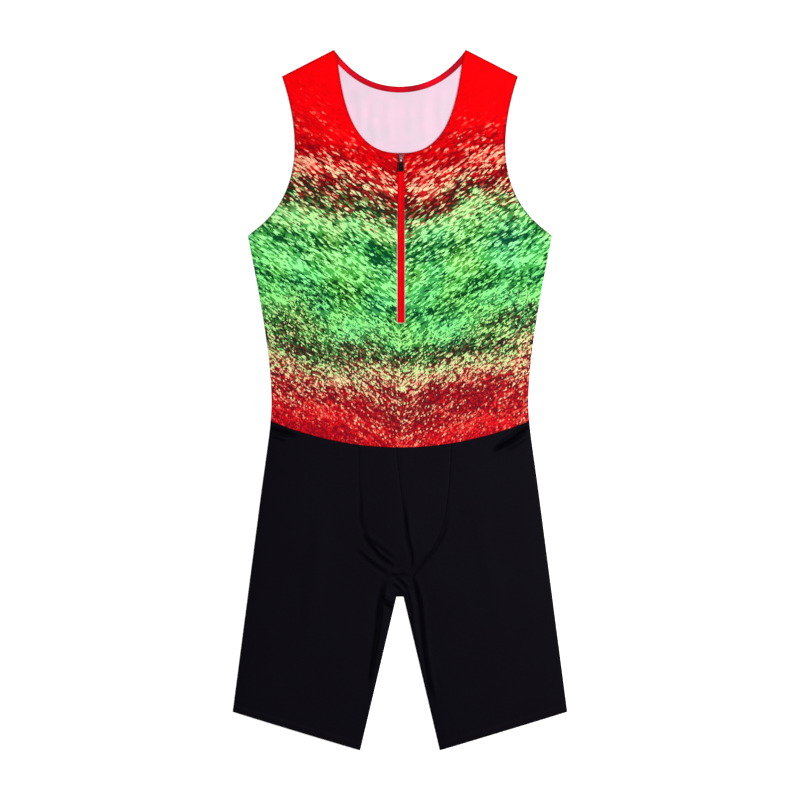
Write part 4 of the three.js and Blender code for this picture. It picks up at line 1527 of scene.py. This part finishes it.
@dataclass
class PrintedTop:
    """The printed front and back of the top, with the tape inside the back neckline.

    Attributes:
        columns_for: The width that the panels' columns are counted for.
        band_rows: The shares of its upper and its lower edge at each row of stitches.
    """

    pattern: Pattern
    lie: Lie
    finishes: Finishes
    step: float = 2.6
    back_step: float = 3.6
    columns_for: float = 150.0
    strap_share: float = 0.42
    back_strap_share: float = 0.3
    zip_end_share: float = 0.4
    # Painted shade where the armholes, shoulders and necklines turn over
    edge_fold_shade: float = 0.9
    neck_fold_shade: float = 0.6
    slit_pale: float = 0.75
    band_width: float = 8.0
    band_cut: float = 10.0
    band_least: float = 0.8
    band_under: float = 0.8
    band_lift: float = 0.04
    band_thickness: float = 0.45
    # Painted shade along the tape's edges
    band_fold_shade: float = 0.7
    band_rows: tuple[Point, ...] = ((0.86, 0.14), (0.14, 0.86))

    def _front_half(self, side: int) -> Array:
        """One half of the front, from the zip's edge to the side.

        Args:
            side: 1 for the wearer's left, -1 for the right.

        Returns:
            The half's net.
        """
        p = self.pattern
        x = p.slit_x(side)
        outer = [p.armhole, p.top_side, p.shoulder]
        if side < 0:
            outer = [rail.mirrored() for rail in outer]
        armhole, top_side, shoulder = outer
        heights = (p.front_neck_depth, p.underarm_y, p.slit_end, p.waist(x)[1])
        chest, slit, belly = [Rail(((x, y0), (x, y1))) for y0, y1 in zip(heights, heights[1:])]
        strap, length = (0, self.strap_share), p.front_neck(1).length()
        stretches = (
            Stretch(p.front_neck(side), armhole, outer_span=strap, fine_start=True, length=length),
            Stretch(chest, armhole, outer_span=(self.strap_share, 1)),
            Stretch(slit, top_side, outer_span=(0, self.zip_end_share)),
            Stretch(belly, top_side, outer_span=(self.zip_end_share, 1), fine_start=True, fine_end=True),
        )
        bottom = p.waist_rail(x, side * p.waist_side[0])
        return net_of(stretches, shoulder, bottom, self.step, spaced(self.columns_for, self.step))

    def _lay(self, layer: Layer, nets: Nets, own: Sequence[Finish], necks: Sequence[Finish]) -> Cloth:
        """Make the front or the back.

        Args:
            layer: Front or back.
            nets: Its nets.
            own: The edges that only it has.
            necks: Its neckline on the wearer's left and on the right.

        Returns:
            The panel.
        """
        p = self.pattern
        waist = p.waist_rail(-p.waist_side[0], p.waist_side[0]).at(FULL)
        edges = [Finish(Edge.SEAM, waist), *own]
        for side, neck in zip((1, -1), necks):
            edges.append(neck)
            for edge, rail in ((Edge.FREE, p.armhole), (Edge.JOINED, p.shoulder)):
                # Painted shade where the armhole and the shoulder turn over
                edges.append(Finish(edge, mirror(rail.at(FULL), side), fold=self.edge_fold_shade))
            edges += edges_of([(Edge.JOINED, p.top_side)], side)
        front = layer is Layer.FRONT
        word, underside = ("front", self.lie.front) if front else ("back", self.lie.back)
        name, nodes, slot = f"top_{word}_shell", (f"{word}_top",), "printed_knit"
        outer, inner = self.finishes.print, self.finishes.inside
        cloth = Cloth(name, nodes, slot, nets, edges, layer, underside, outer, inner)
        return cloth.lay()

    def build_front(self) -> Cloth:
        """Make the front of the top, with its slit for the zip."""
        p = self.pattern
        left, right = self._front_half(1), self._front_half(-1)
        end_row = int(np.argmin(np.abs(left[:, 0, 1] - p.slit_end)))
        shares = spaced(2 * p.zip_half, 2.0)[None, :, None]
        below = right[end_row:, :1] * (1 - shares) + left[end_row:, :1] * shares
        x0, x1, y0, y1 = p.slit_x(-1), p.slit_x(1), p.front_neck_depth, p.slit_end
        slit = np.array([(x0, y0), (x0, y1), (x1, y1), (x1, y0)])
        cut = Finish(Edge.FREE, slit, pale=self.slit_pale)
        # Painted shade where the front neckline turns over
        necks = [Finish(Edge.FREE, p.front_neck(side).at(FULL), fold=self.neck_fold_shade) for side in (1, -1)]
        return self._lay(Layer.FRONT, (left, right, below), [cut], necks)

    def build_back(self) -> Cloth:
        """Make the back of the top, with its inside facing up."""
        p = self.pattern
        heights = (p.back_neck_depth, p.underarm_y, p.waist_dip)
        upper, lower = [Rail(((0, y0), (0, y1))) for y0, y1 in zip(heights, heights[1:])]
        share = self.back_strap_share
        stretches = (
            Stretch(p.back_neck, p.armhole, outer_span=(0, share), fine_start=True),
            Stretch(upper, p.armhole, outer_span=(share, 1)),
            Stretch(lower, p.top_side, fine_end=True),
        )
        bottom, columns = p.waist_rail(0, p.waist_side[0]), spaced(self.columns_for, self.back_step)
        half = net_of(stretches, p.shoulder, bottom, self.back_step, columns)
        neck = p.back_neck.at(FULL)
        # Painted shade where the back neckline turns over
        necks = [Finish(Edge.FREE, mirror(neck, side), fold=self.edge_fold_shade) for side in (1, -1)]
        return self._lay(Layer.BACK, [mirror(half, side) for side in (1, -1)], [], necks)

    def build_band(self, back: Cloth) -> None:
        """Make the tape along the inside of the back neckline, and its two rows of stitches.

        Args:
            back: The back that it is sewn to.
        """
        p = self.pattern
        edge = p.back_neck.at(spaced(105.0, 2.0, True, False))
        inward = left_of(edge)
        inward *= np.sign(-inward[:, 1])[:, None]
        strap = p.front_neck(1).at(np.linspace(0, 1, 300))
        strap = strap[np.argsort(strap[:, 1])]
        # It narrows bit by bit wherever it would reach too far under a strap
        width, bit = np.full(len(edge), self.band_width), 0.12
        for _ in range(round((self.band_width - self.band_least) / bit)):
            far = edge + inward * width[:, None]
            over = far[:, 0] > np.interp(far[:, 1], strap[:, 1], strap[:, 0]) + self.band_under
            width[over & (width > self.band_least)] -= bit
        across = spaced(self.band_width, 1.3)[None, :, None]
        half = edge[:, None] + inward[:, None] * width[:, None, None] * across
        net = np.concatenate([mirror(half, -1), half[::-1][1:]])
        outline = np.concatenate([net[:, 0], net[::-1, -1], net[:1, 0]])
        band = Cloth(
            "neck_tape_shell",
            ("back_neck_band",),
            "neck_tape",
            [net],
            # Painted shade along the tape's edges
            [Finish(Edge.FREE, outline, fold=self.band_fold_shade)],
            Layer.FRONT,
            lambda points: back.top_at(points) + self.band_lift,
            self.finishes.band,
            self.finishes.band,
            thickness=self.band_thickness,
        )
        band.lay()
        sewn = net[3:-3]
        paths = [sewn[:, 0] * upper + sewn[:, -1] * lower for upper, lower in self.band_rows]
        row = StitchRow("neck_tape_stitches", "neck_tape", pitch=2.2, length=1.7, thread=0.38)
        row.build(paths, band.top_at, self.finishes.red_thread)

    def build(self) -> None:
        """Make the whole top."""
        back = self.build_back()
        self.build_front()
        self.build_band(back)


@dataclass
class Shorts:
    """The black shorts: legs, front panel, gusset and their stitches.

    Attributes:
        crotch_shares: How much of the leg's side is above the back's crotch, and above its end.
        gusset_parts: The shares of the gusset's width where its lower edge turns.
    """

    pattern: Pattern
    lie: Lie
    finishes: Finishes
    step: float = 2.3
    back_step: float = 3.6
    waist_creases: float = 52.0
    leg_creases: float = 18.0
    hip_share: float = 0.45
    gusset_top_share: float = 0.24
    gusset_foot_share: float = 0.37
    crotch_shares: Point = (0.33, 0.345)
    gusset_parts: tuple[float, ...] = (0.0, 0.22, 0.78, 1.0)
    hem_rows: Point = (5.2, 7.0)
    hem_trim: float = 1.5

    def _panel(
        self, name: str, node: str, net: Array, edges: Sequence[Finish], layer: Layer
    ) -> Cloth:
        """Make one black panel.

        Args:
            name: The piece's name.
            node: The CAD node it stands for.
            net: Its net.
            edges: Its edges.
            layer: Front or back.

        Returns:
            The panel.
        """
        # Front panels get painted shade in their deep creases
        underside, shadow = self.lie.back, None
        if layer is Layer.FRONT:
            underside, shadow = self.lie.front, self.lie.front_shadow
        black = self.finishes.black
        nodes, slot = (node,), "black_knit"
        cloth = Cloth(name, nodes, slot, [net], edges, layer, underside, black, black, shadow=shadow)
        return cloth.lay()

    def _leg(self, side: int, net: Array, edges: Sequence[Finish], layer: Layer) -> None:
        """Make a leg's front or back, and stitch its hem on its right side.

        Args:
            side: 1 for the wearer's left, -1 for the right.
            net: Its net.
            edges: Its edges.
            layer: Front or back.
        """
        word, down = word_for(side), layer is Layer.BACK
        place, rests_on = ("back", "the surface") if down else ("front", f"back_leg_{word}_shell")
        node = f"{place}_leg_{word}"
        cloth = self._panel(f"{node}_shell", node, net, edges, layer)
        hem = self.pattern.hem.at(FULL)
        paths = [mirror(offset_path(hem, distance, self.hem_trim), side) for distance in self.hem_rows]
        height = (lambda points: cloth.faces(points)[0]) if down else cloth.top_at
        name = f"{place}_hem_stitches_{word}"
        row = StitchRow(name, "black_knit", pitch=2.6, length=2.0, thread=0.4, sunk=0.3, down=down)
        row.build(paths, height, self.finishes.black_thread)

    def _front_leg(self, side: int) -> None:
        """Make a front leg.

        Args:
            side: 1 for the wearer's left, -1 for the right.
        """
        p = self.pattern
        outer = [p.hip_side, p.leg_side, p.inner_leg, p.hem]
        pouch, gusset, top_x = p.pouch_left, p.gusset_left_seam, p.pouch_left_x
        if side < 0:
            outer = [rail.mirrored() for rail in outer]
            pouch, gusset, top_x = p.pouch_right, p.gusset_right_seam, p.pouch_right_x
        hip, leg, inner_leg, hem = outer
        share, upper, lower = self.hip_share, self.gusset_top_share, self.gusset_foot_share
        stretches = (
            Stretch(pouch, hip, inner_span=(0, share), fine_start=True, dense=self.waist_creases),
            Stretch(pouch, leg, inner_span=(share, 1), outer_span=(0, upper)),
            Stretch(gusset, leg, outer_span=(upper, lower)),
            Stretch(inner_leg, leg, outer_span=(lower, 1), fine_end=True),
        )
        top = p.waist_rail(top_x, side * p.waist_side[0])
        columns = spaced(140.0, self.step, dense=self.leg_creases)
        net = net_of(stretches, top, hem, self.step, columns)
        edges = [(Edge.SEAM, top), (Edge.SEAM, pouch), (Edge.FLUSH, gusset)]
        edges += [(Edge.JOINED, rail) for rail in (inner_leg, hip, leg)]
        self._leg(side, net, edges_of([*edges, (Edge.HEM, hem)]), Layer.FRONT)

    def _back_leg(self, side: int) -> None:
        """Make a back leg.

        Args:
            side: 1 for the wearer's left, -1 for the right.
        """
        p = self.pattern
        middle = Rail(((0, p.waist_dip), (0, p.crotch[1])))
        crotch_step = Rail(((0, p.crotch[1]), p.crotch))
        share, (upper, lower) = self.hip_share, self.crotch_shares
        stretches = (
            Stretch(middle, p.hip_side, inner_span=(0, share), fine_start=True),
            Stretch(middle, p.leg_side, inner_span=(share, 1), outer_span=(0, upper)),
            Stretch(crotch_step, p.leg_side, outer_span=(upper, lower)),
            Stretch(p.back_inner_leg, p.leg_side, outer_span=(lower, 1), fine_end=True),
        )
        top = p.waist_rail(0, p.waist_side[0])
        net = net_of(stretches, top, p.hem, self.back_step, spaced(160.0, self.back_step))
        joined = (crotch_step, p.back_inner_leg, p.hip_side, p.leg_side)
        edges = [(Edge.SEAM, top), (Edge.SEAM, middle)] + [(Edge.JOINED, rail) for rail in joined]
        edges.append((Edge.HEM, p.hem))
        self._leg(side, mirror(net, side), edges_of(edges, side), Layer.BACK)

    def _pouch_half(self, word: str, inner: Rail, outer: Rail, xs: Point, arc: Point) -> None:
        """Make half of the front panel.

        Args:
            word: Left or right.
            inner: The seam on the wearer's right of it.
            outer: The seam on the wearer's left of it.
            xs: Where its top starts and ends across.
            arc: Its shares of the gusset's arc.
        """
        p = self.pattern
        top = p.waist_rail(*xs)
        u = spaced(60.0, 1.5)
        v = spaced(max(inner.length(), outer.length()), 1.8)
        bottom = p.gusset_arc.at(arc[0] + (arc[1] - arc[0]) * u)
        net = fill_net(top.at(u), bottom, inner.at(v), outer.at(v), u, v)
        edges = edges_of([(Edge.SEAM, rail) for rail in (top, inner, outer)])
        edges.append(Finish(Edge.FLUSH, bottom))
        name, node = f"front_panel_{word}_shell", f"front_pouch_{word}"
        self._panel(name, node, net, edges, Layer.FRONT)

    def _gusset(self) -> None:
        """Make the gusset, whose lower edge runs down, across the crotch and down again."""
        p = self.pattern
        (foot_x, foot_y), (crotch_x, crotch_y) = p.gusset_foot, p.crotch
        turns = ((-foot_x, foot_y), (-crotch_x, crotch_y), (crotch_x, crotch_y), (foot_x, foot_y))
        feet = [Rail(ends) for ends in zip(turns, turns[1:])]
        parts = self.gusset_parts
        columns = []
        for start, end, length in zip(parts, parts[1:], (8, 9, 8)):
            shares = spaced(length, 1.2, start == 0, end == 1)[:-1]
            columns.append(start + (end - start) * shares)
        u = np.append(np.concatenate(columns), 1.0)
        bottom = []
        for share in u:
            part = min(len(feet), int(np.searchsorted(parts, share, side="right"))) - 1
            local = (share - parts[part]) / (parts[part + 1] - parts[part])
            bottom.append(feet[part].at(np.array([local]))[0])
        v = spaced(42.0, 1.2)
        left, right = p.gusset_left_seam, p.gusset_right_seam
        net = fill_net(p.gusset_arc.at(u), np.array(bottom), right.at(v), left.at(v), u, v)
        edges = edges_of([(Edge.FLUSH, seam) for seam in (p.gusset_arc, left, right)])
        edges.append(Finish(Edge.JOINED, np.array(bottom)))
        self._panel("gusset_shell", "crotch_gusset", net, edges, Layer.FRONT)

    def build(self) -> None:
        """Make the whole shorts."""
        p = self.pattern
        for side in (1, -1):
            self._back_leg(side)
            self._front_leg(side)
        middle, share = p.pouch_middle, p.middle_seam_share
        self._pouch_half("left", middle, p.pouch_left, (p.pouch_middle_x, p.pouch_left_x), (share, 1.0))
        self._pouch_half("right", p.pouch_right, middle, (p.pouch_right_x, p.pouch_middle_x), (0.0, share))
        self._gusset()


@dataclass
class HalfZip:
    """The zip: two tapes, the slider and its pull tab."""

    pattern: Pattern
    lie: Lie
    finishes: Finishes
    tape_thickness: float = 1.0
    tape_lift: float = 0.07
    tape_overlap: float = 0.12
    tape_cut: float = 10.0
    # Painted shade along the tape's outer edge, and how far in it reaches
    tape_fold_shade: float = 0.7
    tape_fold_shade_reach: float = 1.2
    coil_rise: float = 0.12
    coil_reach: float = 1.6
    centre_gap: float = 0.12
    notch_half: float = 1.15
    notch_start: float = 5.0
    notch_length: float = 1.2
    stitch_inset: float = 0.95

    def _underside(self, points: Array) -> Array:
        """The tapes' underside, level across but for the rise over the teeth.

        Args:
            points: Rows of x and y.

        Returns:
            Heights in millimetres.
        """
        zip_x = self.pattern.zip_x
        middle = np.column_stack([np.full(len(points), zip_x), points[:, 1]])
        near = 1 - np.clip(np.abs(points[:, 0] - zip_x) / self.coil_reach, 0, 1)
        return self.lie.front(middle) + self.tape_lift + self.coil_rise * near

    def _tape(self, side: int) -> None:
        """Make one tape and its row of stitches.

        Args:
            side: 1 for the wearer's left, -1 for the right.
        """
        p, word, half_gap = self.pattern, word_for(side), self.centre_gap / 2
        node = f"zip_tape_{word}"
        low, high = corner(node, False)[1], corner(node, True)[1]
        slider_low = corner("zip_slider", False)[1]
        outer_x = p.zip_x + side * (p.zip_half + self.tape_overlap)
        rows = high - (high - low) * spaced(high - low, 1.5)
        parting = smooth_step((rows - (slider_low + self.notch_start)) / self.notch_length)
        cut_back = parting * (self.notch_half - half_gap)
        inner = np.column_stack([p.zip_x + side * half_gap + side * cut_back, rows])
        outer = np.column_stack([np.full(len(rows), outer_x), rows])
        u = spaced(p.zip_half, 0.8)[None, :, None]
        net = inner[:, None] * (1 - u) + outer[:, None] * u
        inner_edge = np.concatenate([net[0, ::-1], net[:, 0], net[-1]])
        cloth = Cloth(
            f"{node}_shell",
            (node,),
            "zip_tape",
            [net],
            # Painted shade along the outer edge
            [Finish(Edge.FREE, inner_edge), Finish(Edge.FREE, net[:, -1], fold=self.tape_fold_shade)],
            Layer.FRONT,
            self._underside,
            self.finishes.tape,
            self.finishes.tape,
            thickness=self.tape_thickness,
            shade_reach=(self.tape_fold_shade_reach, self.tape_fold_shade_reach),
        )
        cloth.lay()
        sewn = np.linspace(low + 1, slider_low - 1, 120)
        line = np.column_stack([np.full(len(sewn), outer_x - side * self.stitch_inset), sewn])
        row = StitchRow(f"zip_stitches_{word}", "zip_tape", pitch=2.2, length=1.7, thread=0.36)
        row.build([line], cloth.top_at, self.finishes.red_thread)

    def build(self) -> None:
        """Make the zip."""
        for side in (1, -1):
            self._tape(side)
        pivot = np.array(frame["joints"][0]["pos_m"]) / MM
        Slider(pivot, self.finishes).build()
        PullTab(pivot, self.finishes).build()


@dataclass(frozen=True)
class Slider:
    """The slider: two plates round the zip, a post between them and a bridge that holds the pull.

    Attributes:
        pivot: The middle of the pull's bar, from which the other sizes are measured.
        finishes: The suit's finishes.
        nose: Its upper end.
        heel: Its lower end.
        nose_half: Half its width at the nose.
        heel_half: Half its width at the heel.
        corner: The rounding of its corners.
        lower: The lower plate's underside and top.
        upper: The upper plate's underside and top.
        rim: How far the plates' rims reach towards each other.
        rim_in: How far in from the sides a rim starts and ends.
        bridge_half: From the middle to the bridge's centre line.
        bridge_reach: Half the length of the bridge's centre line.
        bridge_height: The height of the bridge's centre line.
        bridge_radius: Half the bridge's thickness.
        post: The corners of the post, the upright ones measured down from the nose.
        foot: The corners of the bridge's foot.
    """

    pivot: Array
    finishes: Finishes
    nose: float = 6.9
    heel: float = -4.8
    nose_half: float = 3.9
    heel_half: float = 2.8
    corner: float = 1.9
    lower: Point = (-5.3, -4.3)
    upper: Point = (-2.1, -1.14)
    rim: float = 0.34
    rim_in: Point = (0.25, 0.75)
    bridge_half: float = 1.2
    bridge_reach: float = 3.4
    bridge_height: float = 1.42
    bridge_radius: float = 0.4
    post: tuple[Point, ...] = ((0, 5.2), (0.9, 1.8), (0, 0.9), (-0.9, 1.8))
    foot: tuple[Point, ...] = ((-1.25, -4.25), (1.25, -4.25), (1.0, -1.95), (-1.0, -1.95))

    def _bridge(self) -> Rings:
        """Make the bridge's rings: an oval loop of cast metal that bends down at both ends.

        Returns:
            The rings.
        """
        half, start = self.bridge_half, 0.5
        straight, turns = self.bridge_reach - half, np.linspace(0, math.pi, 25)
        top = np.column_stack([half * np.cos(turns), straight + half * np.sin(turns)])
        side = np.column_stack([np.full(15, -half), np.linspace(straight, -straight, 17)[1:-1]])
        loop = np.concatenate([top, side, -top, -side])
        drop = smooth_step((np.abs(loop[:, 1]) - straight + start) / (half + start))
        height = self.bridge_height + (self.upper[1] - self.bridge_height) * drop
        return wire(np.column_stack([loop, height]), self.bridge_radius)

    def build(self) -> None:
        """Make the slider."""
        materials = (self.finishes.lacquer, self.finishes.zinc)
        names = ("zip_slider_body", "garment", "zip_slider", "slider_metal")
        part = Casting(*names, self.pivot, 0.0, materials)
        top, bottom = self.lower[1], self.upper[0]
        ends = ((self.nose_half, self.nose), (self.heel_half, self.heel))
        shape = rounded((*((-x, y) for x, y in ends), *reversed(ends)), self.corner)
        part.add(plate(shape, *self.lower, 0.3))
        part.add(plate(shape, *self.upper, 0.35, 0.1))
        for side in (1, -1):
            spots = [(x - inset, y - self.corner * np.sign(y)) for inset in self.rim_in for x, y in ends]
            order = (0, 1, 3, 2) if side < 0 else (2, 3, 1, 0)
            rim = rounded([(side * spots[i][0], spots[i][1]) for i in order], 0.25, 3)
            part.add(plate(rim, bottom - self.rim, bottom + 0.3, 0.15))
            part.add(plate(rim, top - 0.3, top + self.rim, 0.15))
        post = rounded([(x, self.nose - down) for x, down in self.post], 0.5)
        part.add(plate(post, top - 0.2, bottom + 0.2, 0.1))
        part.add(self._bridge(), 1, True)
        foot = rounded(self.foot, 0.7)
        part.add(plate(foot, self.upper[1] - 0.4, self.bridge_height - 0.75, 0.3, 0.04), 1)
        part.build()


@dataclass(frozen=True)
class PullTab:
    """The pull: a wire loop through the slider's bridge, with a moulded grip over its lower end.

    Attributes:
        pivot: The middle of its bar.
        finishes: The suit's finishes.
        rest: How far it hangs below level.
        arm: From the middle to each arm of the loop.
        arm_reach: From the bar to the loop's lower end.
        wire_radius: Half the wire's thickness.
        grip_top: The grip's upper end.
        grip_end: The grip's lower end.
        grip_half: Half the grip's width.
        grip_thickness: Half the grip's thickness.
        ribs: Places of the ribs that the finger holds.
        rib_half: Half a rib's length and half its width.
        rib_height: How far a rib stands over the grip.
    """

    pivot: Array
    finishes: Finishes
    rest: float = math.radians(4)
    arm: float = 2.3
    arm_reach: float = 7.5
    wire_radius: float = 0.5
    grip_top: float = -5.3
    grip_end: float = -17.6
    grip_half: float = 3.6
    grip_corner: float = 1.9
    grip_thickness: float = 0.72
    ribs: tuple[float, ...] = (-11.2, -12.6, -14.0, -15.4)
    rib_half: Point = (2.0, 0.35)
    rib_height: float = 0.42

    def _block(self, half: float, low: float, high: float, radius: float, turns: int = 6) -> Array:
        """A rounded rectangle about the middle between two heights."""
        return rounded(((-half, low), (half, low), (half, high), (-half, high)), radius, turns)

    def build(self) -> None:
        """Make the pull."""
        materials = (self.finishes.pull, self.finishes.wire)
        names = ("zip_pull", "pull_tab", "zip_pull_tab", "pull_moulding")
        part = Casting(*names, self.pivot, self.rest, materials)
        arm, reach = self.arm, -self.arm_reach
        loop = rounded(((arm, 0.0), (-arm, 0.0), (-arm, reach), (arm, reach)), 0.8)
        steps = np.linspace(0, len(loop), 90, endpoint=False)
        closed = np.concatenate([loop, loop[:1]])
        x, y = (np.interp(steps, range(len(closed)), closed[:, i]) for i in (0, 1))
        part.add(wire(np.column_stack([x, y, np.zeros(len(x))]), self.wire_radius), 1, True)
        thick = self.grip_thickness
        grip = self._block(self.grip_half, self.grip_end, self.grip_top, self.grip_corner)
        part.add(plate(grip, -thick, thick, 0.55))
        half, tall = self.rib_half
        for y in self.ribs:
            rib = self._block(half, y - tall, y + tall, tall, 4)
            part.add(plate(rib, thick - 0.2, thick + self.rib_height, 0.2))
        part.build()


# ---- studio


@dataclass(frozen=True)
class Studio:
    """A white table under soft light, with the camera straight above. Its lengths are in metres.

    Attributes:
        floor_glow: The light that the table gives, so that it stays white.
        lights: Each light's name, place, width and power in watts.
    """

    camera_height: float = 3.0
    view_width: float = 1.056
    sensor: float = 36.0
    floor_half: float = 3.0
    floor_drop: float = 0.0004
    floor_glow: float = 0.4
    room: float = 0.22
    lights: tuple[tuple[str, Size, float, float], ...] = (
        ("overhead", (0.15, 0.2, 3.3), 2.4, 64.0),
        ("side", (1.35, 0.2, 1.8), 1.1, 40.0),
    )

    def _camera(self) -> None:
        """Look straight down with the neck at the top."""
        data = bpy.data.cameras.new("camera")
        data.sensor_width = self.sensor
        data.lens = self.sensor * self.camera_height / self.view_width
        camera = bpy.data.objects.new("camera", data)
        camera.location = (0.0, 0.0, self.camera_height)
        bpy.context.scene.collection.objects.link(camera)
        bpy.context.scene.camera = camera

    def _floor(self) -> None:
        """A plain white table top."""
        even = {"Roughness": 0.9, "Specular IOR Level": 0.1}
        even |= {"Emission Color": linear("#ffffff"), "Emission Strength": self.floor_glow}
        material, tree, shader = new_material("white_table", even)
        noise = add_node(tree, "TexNoise", {"Scale": 3.0}, {"Vector": place_in_mm(tree)}).outputs[0]
        stops = ((0.0, "#fbfbfb"), (1.0, "#fdfdfd"))
        white = add_node(tree, "ValToRGB", {"stops": stops}, {0: noise}).outputs[0]
        tree.links.new(white, shader.inputs["Base Color"])
        h, z = self.floor_half, -self.floor_drop
        mesh = bpy.data.meshes.new("table")
        mesh.from_pydata([(-h, -h, z), (h, -h, z), (h, h, z), (-h, h, z)], [], [(0, 1, 2, 3)])
        mesh.materials.append(material)
        floor = bpy.data.objects.new("table", mesh)
        bpy.context.scene.collection.objects.link(floor)
        floor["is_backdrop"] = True

    def _lights(self) -> None:
        """A broad light straight above, a smaller one at the wearer's left, and a white room."""
        for name, place, size, power in self.lights:
            data = bpy.data.lights.new(name, "AREA")
            data.size = size
            data.energy = power
            light = bpy.data.objects.new(name, data)
            light.location = place
            light.rotation_euler = (-Vector(place)).to_track_quat("-Z", "Y").to_euler()
            bpy.context.scene.collection.objects.link(light)
        world = bpy.data.worlds.new("white_room")
        world.use_nodes = True
        background = world.node_tree.nodes["Background"]
        background.inputs[0].default_value = (1.0, 1.0, 1.0, 1.0)
        background.inputs[1].default_value = self.room
        bpy.context.scene.world = world

    def build(self) -> None:
        """Make the studio."""
        self._camera()
        self._floor()
        self._lights()
        bpy.context.scene.view_settings.view_transform = "Standard"


def main() -> None:
    """Build the suit and its studio."""
    logging.basicConfig(level=logging.INFO, format="%(name)s: %(message)s")
    finishes = Finishes()
    pattern = Pattern()
    lie = Lie(pattern)
    PrintedTop(pattern, lie, finishes).build()
    Shorts(pattern, lie, finishes).build()
    HalfZip(pattern, lie, finishes).build()
    Studio().build()
    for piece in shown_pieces():
        log.info("piece %s: %d faces", piece.name, len(piece.data.polygons))


if __name__ == "__main__":
    main()
